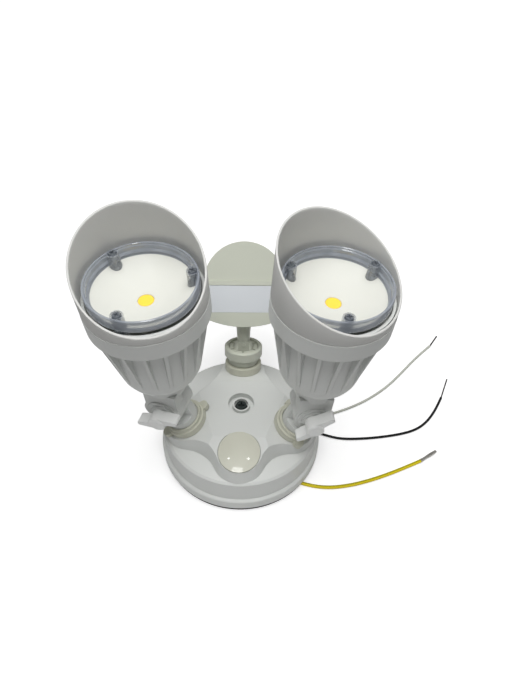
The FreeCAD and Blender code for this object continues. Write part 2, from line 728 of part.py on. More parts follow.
def wing_screw(turn):
    """Wing screw lying along the pivot axis, local X; its two wings sit on opposite sides of the hub."""
    foot = KNUCKLE_W + BOSS_H + FACE_GAP
    shaft = x_cyl(SCREW_R, SHAFT_INSET - KNUCKLE_W, foot + PAST)
    hub = x_cyl(WING_HUB_R, foot, foot + WING_HUB_L)
    hub_end = V(foot + WING_HUB_L, 0, 0)
    dome = Part.makeCone(WING_HUB_R, WING_HUB_R - WING_DOME_IN, WING_DOME_H, hub_end, X_AXIS)
    blades = [wing_blade(foot + WING_FOOT), wing_blade(foot + WING_FOOT)]
    blades[1].rotate(V(0, 0, 0), X_AXIS, 180)
    body = shaft.fuse([hub, dome] + blades).removeSplitter()
    body.rotate(V(0, 0, 0), X_AXIS, turn)
    return body


def upper_arm():
    """Local frame: Z along the head axis from the pivot, X along the pivot axis."""
    top = NECK_END - SEAT
    half = FACE_GAP / 2
    knuckle = x_cyl(KNUCKLE_R, half, KNUCKLE_W)
    boss = x_cyl(BOSS_R, KNUCKLE_W - PAST, KNUCKLE_W + BOSS_H)
    ring = x_cyl(KNUCKLE_R - FACE_RING_IN, KNUCKLE_W - PAST, KNUCKLE_W + FACE_RING_H)
    web = box(half, KNUCKLE_W, -WEB_HALF, WEB_HALF, 0, ARM_RELIEF_R + NECK_ROOT)
    neck = revolve([(0, ARM_RELIEF_R), (NECK_R, ARM_RELIEF_R), (NECK_TOP_R, top - NECK_RIM_H),
                    (NECK_TOP_R, top), (0, top)])
    neck.translate(V(-HEAD_BACK, 0, 0))
    hole = x_cyl(SCREW_R + LOOSE_GAP, -PAST, KNUCKLE_W + BOSS_H + PAST)
    bore = cyl(BORE_R, KNUCKLE_R, top + PAST, NECK_BORE_OFF - HEAD_BACK)
    return cut_all(neck.fuse([web, knuckle, ring, boss]), [hole, bore]).removeSplitter()


# Lamp head
def screw_spots():
    """Middles of the three lens screws."""
    return [polar(LENS_BOSS_DIST, k * 360.0 / LENS_SCREW_COUNT) for k in range(LENS_SCREW_COUNT)]


def sink_recess():
    """What is taken away between the fins: a ring with a slanted floor, less the fins."""
    top = -COLLAR_L - FIN_TOP_GAP
    foot = SINK_ROUND - SINK_END
    out = COLLAR_R + PAST
    ring = revolve([(SINK_TOP_R - FIN_H, top), (out, top), (out, foot), (SINK_END_R + FIN_FADE, foot)])
    half = FIN_T / 2
    return cut_all(ring, around(lambda: box(0, out + PAST, -half, half, foot - PAST, top + PAST), FIN_COUNT))


def heat_sink():
    """Local frame: Z along the head axis, 0 at the joint of heat sink and hood."""
    body = revolve([(0, -SINK_END), (SINK_END_R - SINK_ROUND, -SINK_END),
                    (SINK_END_R - SINK_ROUND_IN, -SINK_END + SINK_ROUND_UP),
                    (SINK_END_R, -SINK_END + SINK_ROUND), (SINK_TOP_R, -COLLAR_L - COLLAR_EDGE),
                    (COLLAR_R - COLLAR_BEVEL, -COLLAR_L),
                    (COLLAR_R, -COLLAR_L + COLLAR_EDGE), (COLLAR_R, -SEAT), (HEAD_SPIGOT_R, -SEAT),
                    (HEAD_SPIGOT_R, HEAD_SPIGOT_H), (0, HEAD_SPIGOT_H)])
    body = body.cut(sink_recess())
    z0 = -SINK_END + SINK_FLOOR_T
    z1 = -FLOOR_T - SINK_FLOOR_T
    slope = SINK_TAPER / (SINK_END - COLLAR_L)
    root = SINK_TOP_R - FIN_H - SINK_WALL
    cavity = cone(root + (z0 + COLLAR_L) * slope, root + (z1 + COLLAR_L) * slope, z0, z1)
    cuts = [cavity, cyl(POCKET_R, -SHELF_T, HEAD_SPIGOT_H + PAST), cyl(BOARD_R + BOARD_MARGIN, -FLOOR_T, 0),
            cyl(BORE_R, -SINK_END - PAST, -FLOOR_T + PAST)]
    for p in screw_spots():
        cuts.append(cyl(LENS_SCREW_R + RUN_GAP, -SHELF_T - LENS_HOLE_DEPTH, 0, p.x, p.y))
    return cut_all(body, cuts)


def led_board():
    return cyl(BOARD_R, BOARD_FOOT, BOARD_FOOT + BOARD_T)


def led_emitter():
    return cone(EMITTER_R, EMITTER_R - EMITTER_DRAFT, EMITTER_FOOT, EMITTER_FOOT + EMITTER_T)


def dish_point(k):
    """Curve of the reflector from its hole (k = 0) to its rim (k = 1)."""
    r = DISH_HOLE_R + (DISH_R - DISH_HOLE_R) * k
    low = EMITTER_FOOT + DISH_T
    return r, low + (DISH_TOP - low) * (DISH_FLAT * k + (1 - DISH_FLAT) * k * k)


def reflector():
    inner = [dish_point(i / DISH_STEPS) for i in range(DISH_STEPS + 1)]
    outer = [(r + (DISH_GAP if i else 0.0), z - DISH_T) for i, (r, z) in enumerate(inner)]
    edge = DISH_R + DISH_FLANGE
    rim = [(DISH_R, DISH_TOP), (edge, DISH_TOP), (edge, DISH_TOP - DISH_T)]
    body = revolve(inner[:-1] + rim + list(reversed(outer)))
    notch_r = LENS_BOSS_R + LENS_BOSS_INSET
    return cut_all(body, [cyl(notch_r, -FLOOR_T, DISH_TOP + PAST, p.x, p.y) for p in screw_spots()])


def lens_cover():
    rim = tube(COVER_R, COVER_R - COVER_RIM_W, WINDOW_TOP - COVER_RIM_ROOT, COVER_RIM_TOP)
    body = cyl(COVER_R, COVER_FOOT, WINDOW_TOP).fuse(rim)
    bosses = []
    holes = []
    for p in screw_spots():
        bosses.append(cyl(LENS_BOSS_R, -SHELF_T + SEAT, LENS_BOSS_TOP, p.x, p.y))
        holes.append(cyl(LENS_SCREW_R + LOOSE_GAP, -SHELF_T - PAST, LENS_BOSS_TOP + PAST, p.x, p.y))
        holes.append(cyl(LENS_SCREW_HEAD_R + LOOSE_GAP, LENS_BOSS_TOP, COVER_RIM_TOP + PAST, p.x, p.y))
    return cut_all(body.fuse(bosses), holes).removeSplitter()


def lens_screws():
    top = LENS_BOSS_TOP + SEAT
    floor = top + LENS_SLOT_FLOOR
    end = top + 2 * LENS_SCREW_HEAD_H
    out = []
    for p in screw_spots():
        shank = cyl(LENS_SCREW_R, -SHELF_T - LENS_SCREW_L, top + SEAT, p.x, p.y)
        head_top_r = LENS_SCREW_HEAD_R - LENS_SCREW_DRAFT
        head = cone(LENS_SCREW_HEAD_R, head_top_r, top, top + LENS_SCREW_HEAD_H, p.x, p.y)
        slots = [box(p.x - a, p.x + a, p.y - b, p.y + b, floor, end)
                 for a, b in ((LENS_SLOT_R, LENS_SLOT_HALF), (LENS_SLOT_HALF, LENS_SLOT_R))]
        out.append(cut_all(shank.fuse(head), slots))
    return out


def hood():
    """Thin tube cut off at a slant, its long side turned to the top of the lamp."""
    body = tube(HOOD_R, HOOD_R - HOOD_T, 0.0, HOOD_CUT_MID + HOOD_R)
    lean = rad(HOOD_SLANT)
    f = frame_at(V(0, 0, HOOD_CUT_MID), V(-math.sin(lean), 0, math.cos(lean)), Y_AXIS)
    body = body.cut(placed(slab(0, FAR), f))
    body.rotate(V(0, 0, 0), Z_AXIS, HOOD_TURN)
    return body


def lamp_frames(side):
    """Frames of the stem, of the canted knuckle, of the tilted arm and of the head joint."""
    pose = LAMP_POSE[side]
    origin, s = port_axis(side)
    flat = polar(1, PORT_AZ[side] + pose["arm"])
    flat = unit(flat - V(s).multiply(flat.dot(s)))
    cant = rad(ELBOW_CANT)
    a = along(flat, math.cos(cant)) + along(s, math.sin(cant))
    up = unit(s - V(a).multiply(a.dot(s)))
    n = turned(up, a, pose["tilt"])
    pivot = origin + along(s, PIVOT_H)
    joint = pivot + along(n, HEAD_UP) - along(a, HEAD_BACK)
    return frame_at(origin, s, flat), frame_at(pivot, up, a), frame_at(pivot, n, a), frame_at(joint, n, a)


def build_lamp(side):
    pose = LAMP_POSE[side]
    stem, knuckle, arm, joint = lamp_frames(side)
    save("lock_ring_" + side, placed(lock_ring(), ring_frame(side, pose["ring"])))
    save("arm_lower_" + side, lower_arm(stem, knuckle))
    save("pivot_nut_" + side, placed(pivot_nut(), knuckle))
    save("wing_screw_" + side, placed(wing_screw(pose["wing"]), knuckle))
    save("arm_upper_" + side, placed(upper_arm(), arm))
    pieces = {"heat_sink": heat_sink(), "led_board": led_board(), "led_emitter": led_emitter(),
              "reflector": reflector(), "lens_cover": lens_cover(), "hood": hood()}
    for name, shape in pieces.items():
        save(name + "_" + side, placed(shape, joint))
    save("lens_screws_" + side, [placed(screw, joint) for screw in lens_screws()])
    head = arm.Rotation
    print(side, "pivot", arm.Base, "axis", head.multVec(X_AXIS), "head", head.multVec(Z_AXIS), joint.Base)


# Sensor stem, nut, collet and ball
def sensor_stem():
    """Local frame: Z out of the port face."""
    socket_r = SENSOR_NECK_R - COLLET_T
    neck_z = SENSOR_RING_TOP + SENSOR_NECK_GAP
    foot = SPIGOT_H - PILOT_L
    return revolve([(PILOT_R - PILOT_WALL, foot), (PILOT_R, foot), (PILOT_R, FLANGE_FOOT),
                    (FLANGE_R, FLANGE_FOOT), (FLANGE_R, SENSOR_FLANGE_TOP), (STEM_R, SENSOR_FLANGE_TOP),
                    (STEM_R, neck_z),
                    (SENSOR_NECK_R, neck_z + SENSOR_NECK_GAP), (SENSOR_NECK_R, NUT_FOOT - FACE_GAP),
                    (SENSOR_NECK_R - SENSOR_NECK_EDGE, BALL_H), (socket_r, BALL_H),
                    (socket_r, BALL_H - SOCKET_DEPTH), (PORT_BORE_R - SOCKET_BORE_IN, BALL_H - SOCKET_FLOOR)])


def sensor_ring():
    """Low lock ring of the sensor stem, plain and without ears."""
    lip_bore = STEM_R + LOOSE_GAP
    top = SENSOR_RING_TOP
    return revolve([(RING_BORE_R, RING_FOOT_GAP), (SENSOR_RING_R, RING_FOOT_GAP),
                    (SENSOR_RING_R, top - SENSOR_RING_EDGE), (SENSOR_RING_R - SENSOR_RING_EDGE, top),
                    (lip_bore, top), (lip_bore, top - SENSOR_LIP_H), (RING_BORE_R, top - SENSOR_LIP_H)])


def sensor_nut():
    return revolve([(NUT_BORE_R, NUT_FOOT), (NUT_R - NUT_FOOT_BEVEL, NUT_FOOT),
                    (NUT_R, NUT_FOOT + NUT_FOOT_BEVEL), (NUT_R, NUT_TOP - NUT_EDGE),
                    (NUT_R - NUT_EDGE, NUT_TOP), (NUT_MOUTH_R + NUT_LIP, NUT_TOP),
                    (NUT_MOUTH_R, NUT_TOP - NUT_LIP_H), (NUT_BORE_R, NUT_TOP - NUT_CONE_H)])


def collet_slot():
    half = COLLET_SLOT_W / 2
    return box(COLLET_SLOT_IN, NUT_R, -half, half, BALL_H + COLLET_SLOT_FOOT, NUT_TOP + PAST)


def sensor_collet():
    """Slotted ring that grips the ball inside the nut."""
    foot = BALL_H + COLLET_FOOT
    body = tube(NUT_MOUTH_R - COLLET_GAP, BALL_R - COLLET_DEPTH, foot, NUT_TOP - COLLET_TOP_GAP)
    body = body.cut(Part.makeSphere(BALL_R + FACE_GAP, V(0, 0, BALL_H)))
    return cut_all(body, around(collet_slot, COLLET_SLOTS, 180.0 / COLLET_SLOTS))


def sensor_frames():
    """Frame of the ball with Z along the neck, and frame of the head: X across, Y ahead, Z out of it."""
    origin, s = port_axis("sensor")
    az = PORT_AZ["sensor"]
    ball = origin + along(s, BALL_H)
    neck = turned(polar(math.cos(rad(SENSOR_EL)), az, math.sin(rad(SENSOR_EL))), s, SENSOR_PAN)
    side = turned(polar(1, az - 90), s, SENSOR_PAN)
    face = neck.cross(side).multiply(-1)
    return frame_at(ball, neck, side), frame_at(ball + along(neck, SENSOR_LEN), face, side)


def sensor_ball():
    """Local frame: Z along the neck from the ball centre, -Y to the front, where the pocket faces."""
    flange_z = SENSOR_LEN - HEAD_BACK_LEN + COLLAR_IN + FACE_GAP
    flange = cyl(SENSOR_STEM_R + NECK_FLANGE_W, flange_z, flange_z + NECK_FLANGE_T)
    neck = [cyl(SENSOR_WAIST_R, NECK_START, WAIST_END),
            cone(SENSOR_WAIST_R, SENSOR_STEM_R, WAIST_END, WAIST_TOP),
            cyl(SENSOR_STEM_R, WAIST_TOP, flange_z + PAST)]
    body = Part.makeSphere(BALL_R).fuse(neck + [flange])
    pocket = box(-POCKET_HALF, POCKET_HALF, -FAR, -POCKET_FLOOR, POCKET_FOOT, POCKET_TOP)
    boss = y_cyl(POCKET_BOSS_R, -POCKET_FLOOR - POCKET_BOSS_H, -POCKET_FLOOR, 0, POCKET_BOSS_UP)
    return body.cut(pocket.cut(boss)).cut(cyl(NECK_BORE_R, -FAR, FAR)).removeSplitter()


# Sensor head
def head_outline(grow, z):
    """Round front and squarer back of the sensor head, Z being the axis of the drum here."""
    r = HEAD_R + grow
    back = -(HEAD_BACK_LEN + grow)
    half = HEAD_R - HEAD_BACK_IN + grow
    corner_y = back + HEAD_BACK_RISE
    front = Part.Arc(V(r, 0, z), V(0, r, z), V(-r, 0, z))
    left = Part.Arc(V(-r, 0, z), V(HEAD_SIDE_IN - r, -HEAD_SIDE_DOWN, z), V(-half, corner_y, z))
    bottom = Part.Arc(V(-half, corner_y, z), V(0, back, z), V(half, corner_y, z))
    right = Part.Arc(V(half, corner_y, z), V(r - HEAD_SIDE_IN, -HEAD_SIDE_DOWN, z), V(r, 0, z))
    return Part.Wire([arc.toShape() for arc in (front, left, bottom, right)])


def head_block(grow, z0, z1):
    """Block between two heights that narrows away from the label side."""
    wires = [head_outline(grow - HEAD_DRAFT * (0.5 - z / HEAD_T), z) for z in (z0, z1)]
    return Part.makeLoft(wires, True, True)


def sensor_front(shell):
    """Front half of the shell, open where the lens band shows."""
    front = shell.common(y_slab(SPLIT_Y + SEAT, FAR)).cut(slab(HEAD_T / 2 - FRONT_STEP, FAR))
    window = box(-FAR, FAR, SPLIT_Y + LENS_BAND_START, FAR, -LENS_BAND_H / 2, LENS_BAND_H / 2)
    return front.cut(window)


def sensor_lens():
    half = LENS_BAND_H / 2
    outside = head_block(-LENS_BAND_IN, SEAT - half, half - SEAT)
    inside = head_block(-LENS_BAND_IN - LENS_BAND_T, -HEAD_T, HEAD_T)
    return outside.cut(inside).common(y_slab(SPLIT_Y + LENS_BAND_START + SEAT, FAR))


def sensor_rear(shell, inner):
    """Rear half of the shell: collar of the neck, two posts of the board, label pocket and dial holes."""
    half = HEAD_T / 2
    wall = SENSOR_WALL / 2
    rear = shell.common(y_slab(-FAR, SPLIT_Y))
    collar = y_cyl(SENSOR_STEM_R + COLLAR_WALL, wall - HEAD_BACK_LEN, COLLAR_IN - HEAD_BACK_LEN)
    root = SENSOR_POST_ROOT - HEAD_BACK_LEN
    posts = [y_cyl(SENSOR_POST_R, root, SENSOR_BOARD_Y, x, SENSOR_POST_Z).common(inner)
             for x in (-SENSOR_POST_X, SENSOR_POST_X)]
    rear = rear.fuse([collar] + posts)
    edge = LABEL_W / 2 + LABEL_PLAY
    label_end = LABEL_Y0 + LABEL_H + LABEL_PLAY
    cuts = [y_cyl(SENSOR_STEM_R + RUN_GAP, -FAR, SENSOR_BOARD_Y - HEAD_BACK_LEN / 2),
            box(-edge, edge, LABEL_Y0 - LABEL_PLAY, label_end, half - LABEL_POCKET, half + PAST)]
    for x in DIAL_X:
        cuts.append(cyl(DIAL_R + DIAL_GAP, -half - PAST, -half + SENSOR_WALL + PAST, x, DIAL_Y))
    return cut_all(rear, cuts)


def sensor_label():
    foot = HEAD_T / 2 - LABEL_POCKET + SEAT
    return box(-LABEL_W / 2, LABEL_W / 2, LABEL_Y0, LABEL_Y0 + LABEL_H, foot, foot + LABEL_T)


def sensor_dial(x):
    half = HEAD_T / 2
    foot = -half - DIAL_OUT
    stem = cyl(DIAL_STEM_R, foot, DIAL_STEM_L - half, x, DIAL_Y)
    body = cyl(DIAL_R, foot, foot + DIAL_H, x, DIAL_Y).fuse(stem)
    wide = DIAL_SLOT_W / 2
    slot = box(x - DIAL_SLOT_R, x + DIAL_SLOT_R, DIAL_Y - wide, DIAL_Y + wide,
               foot - PAST, foot + DIAL_SLOT_DEPTH)
    return body.cut(slot)


def dial_pot(x):
    size = (2 * POT_HALF, 2 * POT_HALF, POT_H)
    return block_at(x, DIAL_Y, size, POT_FOOT + POT_H - HEAD_T / 2)


def build_sensor():
    port = cross_frame("sensor")
    ball, head = sensor_frames()
    save("lock_ring_sensor", placed(sensor_ring(), port))
    save("sensor_stem", placed(sensor_stem(), port))
    save("sensor_nut", placed(sensor_nut(), port))
    save("sensor_collet", placed(sensor_collet(), port))
    save("sensor_ball", placed(sensor_ball(), ball))
    half = HEAD_T / 2
    inner = head_block(-SENSOR_WALL, SENSOR_WALL - half, half - SENSOR_WALL)
    shell = head_block(0.0, -half, half).cut(inner)
    board_y = SENSOR_BOARD_Y + SEAT
    wide = HEAD_R - SENSOR_BOARD_IN
    tall = half - SENSOR_BOARD_EDGE
    can_foot = board_y + PCB_T + SEAT
    pieces = {"sensor_front": sensor_front(shell), "sensor_rear": sensor_rear(shell, inner),
              "sensor_lens": sensor_lens(), "sensor_label": sensor_label(),
              "sensor_board": box(-wide, wide, board_y, board_y + PCB_T, -tall, tall),
              "pir_element": y_cyl(PIR_R, can_foot, can_foot + PIR_H)}
    for name, x in zip(DIAL_NAMES, DIAL_X):
        pieces["dial_" + name] = sensor_dial(x)
    for name, shape in pieces.items():
        save(name, placed(shape, head))
    save("dial_pots", [placed(dial_pot(x), head) for x in DIAL_X])
    print("ball", ball.Base, "neck", ball.Rotation.multVec(Z_AXIS), "head", head.Base,
          "face", head.Rotation.multVec(Z_AXIS), "side", head.Rotation.multVec(X_AXIS))


# Pieces fixed to the canopy
def lead_dent(name):
    """Dent that a lead presses into the gasket: a round channel, open at the back."""
    r = LEAD_R[name] + DENT_PLAY
    p0 = LEAD_IN[name][-1]
    p1 = LEAD_RUN[name][0]
    start = V(p0[0], p0[1], LEAD_R[name])
    way = V(p1[0] - p0[0], p1[1] - p0[1], 0)
    reach = DENT_REACH * way.Length
    slot = Part.makeBox(reach, 2 * r, LEAD_R[name] + PAST, V(0, -r, -PAST))
    slot.Placement = frame_at(V(start.x, start.y, 0), Z_AXIS, way)
    return [Part.makeCylinder(r, reach, start, way), slot]


def gasket():
    body = tube(RIM_R - GASKET_INSET, RIM_LIP_R + GASKET_LIP_GAP, 0, GASKET_H - SEAT)
    for name in LEAD_RUN:
        for cutter in lead_dent(name):
            body = body.cut(cutter)
    return body


def port_seal():
    return tube(SEAL_OUT_R - SEAL_PLAY, SEAL_IN_R + SEAL_PLAY, SPIGOT_H - SEAL_H + SEAL_GROOVE_PLAY + SEAT,
                SPIGOT_H - SEAT / 2)


def port_plug():
    dome_r = (PLUG_R ** 2 + PLUG_DOME ** 2) / (2 * PLUG_DOME)
    foot = -PLUG_POCKET + SEAT
    edge = foot + PLUG_EDGE_H
    ball = Part.makeSphere(dome_r, V(0, 0, edge + PLUG_DOME - dome_r))
    dome = ball.common(cyl(PLUG_R, edge - SEAT, edge + 2 * PLUG_DOME))
    shank = cyl(PILOT_R, foot - PLUG_SHANK_L, foot + SEAT)
    hollow = cyl(PORT_BORE_R - PLUG_WALL, foot - PLUG_SHANK_L - PAST, foot - PAST)
    return cyl(PLUG_R, foot, edge).fuse([dome, shank]).cut(hollow).removeSplitter()


def center_screw():
    """Pan-head screw: thread up to the boss of the canopy, a plain shank through it, cross recess on top."""
    foot = RECESS_FLOOR - SCREW_HEAD_SUNK + SEAT
    thin = SCREW_HEAD_R - SCREW_HEAD_DRAFT
    head = cyl(thin, foot, foot + SCREW_HEAD_H).fuse(cone(SCREW_HEAD_R, thin, foot, foot + SCREW_HEAD_H))
    thread_top = RECESS_FLOOR - SHELL_T - LOOSE_GAP
    shank = cyl(SHANK_R, thread_top, foot + PAST)
    thread = cyl(MOUNT_SCREW_R, MOUNT_SCREW_END, thread_top)
    cross = [box(-a, a, -b, b, foot + CROSS_FLOOR, foot + 2 * SCREW_HEAD_H)
             for a, b in ((CROSS_R, CROSS_HALF), (CROSS_HALF, CROSS_R))]
    return cut_all(head.fuse([shank, thread]), cross)


def lead_terminal(name):
    """Crimp sleeve of a lead: along the first run of the lead, held by a short post under the board."""
    start, nxt = lead_points(name)[:2]
    way = unit(nxt - start)
    r = LEAD_R[name] + TERMINAL_W
    back = start - along(way, TERMINAL_BACK)
    sleeve = Part.makeCylinder(r, TERMINAL_BACK + TERMINAL_L, back, way)
    sleeve = sleeve.common(slab(-FAR, PCB_Z - SEAT))
    post = cyl(TERMINAL_POST_R, start.z, PCB_Z - SEAT, start.x, start.y)
    bore = Part.makeCylinder(LEAD_R[name] + TERMINAL_PLAY, FAR, start - along(way, SEAT), way)
    return sleeve.fuse(post).cut(bore)


def driver_pieces():
    """Driver board with what it carries, and the screws that hold it to the standoffs."""
    top = PCB_Z - SEAT
    holes = [cyl(PCB_HOLE_R, PCB_Z - PAST, PCB_Z + PCB_T + PAST)]
    screws = []
    for az, inset in STANDOFFS:
        p = polar(PCB_R - inset, az)
        holes.append(cyl(BOARD_HOLE_R, PCB_Z - PAST, PCB_Z + PCB_T + PAST, p.x, p.y))
        screw_head = cyl(BOARD_SCREW_HEAD_R, PCB_Z - BOARD_SCREW_HEAD_H, top, p.x, p.y)
        screws.append(cyl(BOARD_SCREW_R, top, PCB_Z + PCB_T + BOARD_SCREW_L, p.x, p.y).fuse(screw_head))
    core_top = top - TRANSFORMER_BASE[2]
    core_size = TRANSFORMER_CORE[:2] + (TRANSFORMER_CORE[2] - TRANSFORMER_BASE[2],)
    core = block_at(*TRANSFORMER_AT, core_size, core_top)
    transformer = block_at(*TRANSFORMER_AT, TRANSFORMER_BASE, top).fuse(core)
    return {
        "driver_board": cut_all(cyl(PCB_R, PCB_Z, PCB_Z + PCB_T), holes),
        "board_screws": screws,
        "driver_transformer": transformer,
        "driver_relay": block_at(*RELAY_AT, RELAY_SIZE, top),
        "driver_capacitors": [cyl(CAPACITOR_R, top - CAPACITOR_H, top, x, y) for x, y in CAPACITORS_AT],
        "lead_terminals": [lead_terminal(name) for name in LEAD_RUN],
    }


# Leads: straight runs joined by tangent arcs
def round_path(points):
    """One wire through the points, with the radius of every arc."""
    edges = []
    radii = []
    last = points[0]
    for before, here, after in zip(points, points[1:], points[2:]):
        u = unit(here - before)
        w = unit(after - here)
        turn = math.acos(max(-1.0, min(1.0, u.dot(w))))
        back = LEAD_BEND * min((here - before).Length, (after - here).Length)
        radius = back / math.tan(turn / 2)
        radii.append(round(radius, 1))
        t0 = here - along(u, back)
        t1 = here + along(w, back)
        mid = here + along(unit(w - u), radius / math.cos(turn / 2) - radius)
        edges.append(Part.LineSegment(last, t0).toShape())
        edges.append(Part.Arc(t0, mid, t1).toShape())
        last = t1
    edges.append(Part.LineSegment(last, points[-1]).toShape())
    return Part.Wire(edges), radii


def round_tube(points, r):
    wire, radii = round_path(points)
    start = wire.Edges[0]
    circle = Part.Wire(Part.Circle(points[0], start.tangentAt(start.FirstParameter), r).toShape())
    solid = wire.makePipeShell([circle], True, True)
    share = solid.Volume / (math.pi * r * r * wire.Length)
    print("tube length", round(wire.Length, 1), "volume share", round(share, 4), "radii", radii)
    return solid


def lead_points(name):
    """Route of a lead: down from the driver board, out under the rim and along the surface."""
    floor = LEAD_R[name] + LEAD_LIFT
    (x0, y0), (x1, y1) = LEAD_IN[name]
    return [V(x0, y0, LEAD_START_Z), V(x1, y1, floor)] + [V(x, y, floor) for x, y in LEAD_RUN[name]]


def lead_tip(name, points):
    """Stripped end of a lead, just past the end of its cover."""
    x, y = TIP_END[name]
    start = points[-1] + along(unit(points[-1] - points[-2]), TIP_GAP)
    way = V(x, y, TIP_R[name] + LEAD_LIFT) - start
    return Part.makeCylinder(TIP_R[name], way.Length, start, way)


def build_leads():
    for name in LEAD_RUN:
        points = lead_points(name)
        save("lead_" + name, round_tube(points, LEAD_R[name]))
        save("tip_" + name, lead_tip(name, points))


save("canopy", canopy())
save("gasket", gasket())
save("center_screw", center_screw())
save("port_plug", placed(port_plug(), cross_frame("plug")))
save("port_seals", [placed(port_seal(), cross_frame(port)) for port in ("left", "right", "sensor")])
for name, shapes in driver_pieces().items():
    save(name, shapes)
for side in LAMPS:
    build_lamp(side)
build_sensor()
build_leads()
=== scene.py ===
# %% [markdown]
# A twin-head security light with a motion sensor, lying on its back on a white table.
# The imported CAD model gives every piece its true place. Most pieces keep their CAD mesh and only get a
# finish. The hoods, lens covers, LED frames and leads show soft cast edges, thin mouldings or loose wire
# up close, so they get finer meshes of their own.
# Everything is in metres, in the frame of the CAD model: +Z leaves the wall, +Y points to the sensor.

import json
import math

import bpy
import bmesh
from mathutils import Matrix, Vector


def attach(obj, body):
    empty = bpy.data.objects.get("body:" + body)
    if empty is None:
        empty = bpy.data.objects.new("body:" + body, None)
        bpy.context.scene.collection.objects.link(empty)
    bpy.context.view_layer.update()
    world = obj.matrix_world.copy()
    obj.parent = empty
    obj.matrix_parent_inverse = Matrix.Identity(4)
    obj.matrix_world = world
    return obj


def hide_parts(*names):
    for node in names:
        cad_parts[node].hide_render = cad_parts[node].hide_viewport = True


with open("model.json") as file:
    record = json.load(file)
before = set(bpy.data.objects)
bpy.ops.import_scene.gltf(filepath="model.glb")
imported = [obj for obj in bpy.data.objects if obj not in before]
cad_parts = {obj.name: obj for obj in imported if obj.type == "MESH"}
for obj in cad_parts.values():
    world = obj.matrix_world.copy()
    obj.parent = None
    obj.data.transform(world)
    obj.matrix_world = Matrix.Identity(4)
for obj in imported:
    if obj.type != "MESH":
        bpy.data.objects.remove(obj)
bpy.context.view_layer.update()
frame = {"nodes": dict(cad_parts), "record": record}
NODES = frame["nodes"]
MM = 0.001

# %% [markdown]
# The camera is the first thing to settle, because every later choice is judged through it.
# A photograph of circles whose real size is known gives the eye point: the round canopy, the hoods and the
# plug were matched to their outlines. The result is the lens of a phone, 44 centimetres away and looking
# down at 46 degrees. A Blender camera looks along its own -Z, so its matrix is built from three directions:
# right, up and backwards. The focal length is written as a share of the longer side of the picture, so it
# stays right at any render size.

# %% Camera
EYE = Vector((14.31, -248.68, 361.43)) * MM
PITCH = math.radians(45.66)     # how far the view is tipped down from level
ROLL = math.radians(2.465)      # how far the picture is turned about the view
FOCAL_SHARE = 526.0 / 700.0
SENSOR_WIDTH = 36.0
CLIP_NEAR = 0.01
CLIP_FAR = 20.0

forward = Vector((0.0, math.cos(PITCH), -math.sin(PITCH)))
level = Vector((1.0, 0.0, 0.0))
upright = Vector((0.0, math.sin(PITCH), math.cos(PITCH)))
right = level * math.cos(ROLL) + upright * math.sin(ROLL)
up = upright * math.cos(ROLL) - level * math.sin(ROLL)

cam_data = bpy.data.cameras.new("camera")
cam_data.sensor_width = SENSOR_WIDTH
cam_data.lens = SENSOR_WIDTH * FOCAL_SHARE
cam_data.clip_start = CLIP_NEAR
cam_data.clip_end = CLIP_FAR
camera = bpy.data.objects.new("camera", cam_data)
turn = Matrix((right, up, -forward)).transposed().to_4x4()
camera.matrix_world = Matrix.Translation(EYE) @ turn
bpy.context.collection.objects.link(camera)
bpy.context.scene.camera = camera
print("camera", [round(v, 3) for v in EYE], "lens", round(cam_data.lens, 2))

# %% [markdown]
# Colours are judged on a screen, where the steps from 0 to 255 are spaced as eyes see them. Shaders reckon
# with light and need linear values. Linear numbers could be typed by hand, but nobody can compare those
# with a screen, so this helper does the standard conversion.

# %% Screen colours
SRGB_TOP = 255.0
SRGB_KNEE = 0.04045     # below this the standard curve is a straight line
SRGB_SLOPE = 12.92
SRGB_LIFT = 0.055
SRGB_POWER = 2.4


def srgb(r, g, b):
    """A colour written as on a screen, 0 to 255, turned into the linear colour that shaders use."""
    out = []
    for v in (r, g, b):
        v = v / SRGB_TOP
        straight = v / SRGB_SLOPE
        curved = ((v + SRGB_LIFT) / (1.0 + SRGB_LIFT)) ** SRGB_POWER
        out.append(straight if v <= SRGB_KNEE else curved)
    return (*out, 1.0)


print("middle grey is", [round(v, 3) for v in srgb(128, 128, 128)])

# %% [markdown]
# Shader nodes are easier to read as sums than as boxes and wires. The class below wraps one output socket,
# so that an expression such as 1 - mask * 0.3 adds its Math nodes by itself. Python calls the reflected
# forms, such as __rsub__, when the plain number stands on the left.

# %% Sockets in sums
class Wire:
    """One output socket of a finish, usable in Python sums."""

    def __init__(self, finish, socket):
        self.finish = finish
        self.socket = socket

    def _math(self, operation, first, second):
        return self.finish.node("ShaderNodeMath", {"operation": operation}, {0: first, 1: second})

    def __add__(self, other):
        return self._math("ADD", self, other)

    def __radd__(self, other):
        return self._math("ADD", other, self)

    def __sub__(self, other):
        return self._math("SUBTRACT", self, other)

    def __rsub__(self, other):
        return self._math("SUBTRACT", other, self)

    def __mul__(self, other):
        return self._math("MULTIPLY", self, other)

    def __rmul__(self, other):
        return self._math("MULTIPLY", other, self)

    def above(self, limit):
        """1 where the value is over the limit, 0 elsewhere."""
        return self._math("GREATER_THAN", self, limit)


print("sockets can be added and multiplied")

# %% [markdown]
# A finish is one material with the Principled shader, which can be paint, plastic, metal or a clear lens.
# Its node method adds any node: the settings come first, because some of them change which sockets the node
# shows, then the sockets are filled with numbers or links. Colours are mixed with a Mix node, because a Math
# node would turn a colour grey. Noise gives the slight unevenness that real surfaces have.

# %% Finishes
MIX_FACTOR = 0           # the Mix node has sockets for numbers, vectors and colours; these serve colours
MIX_FIRST = 6
MIX_SECOND = 7
MIX_RESULT = 2
BEVEL_SAMPLES = 4


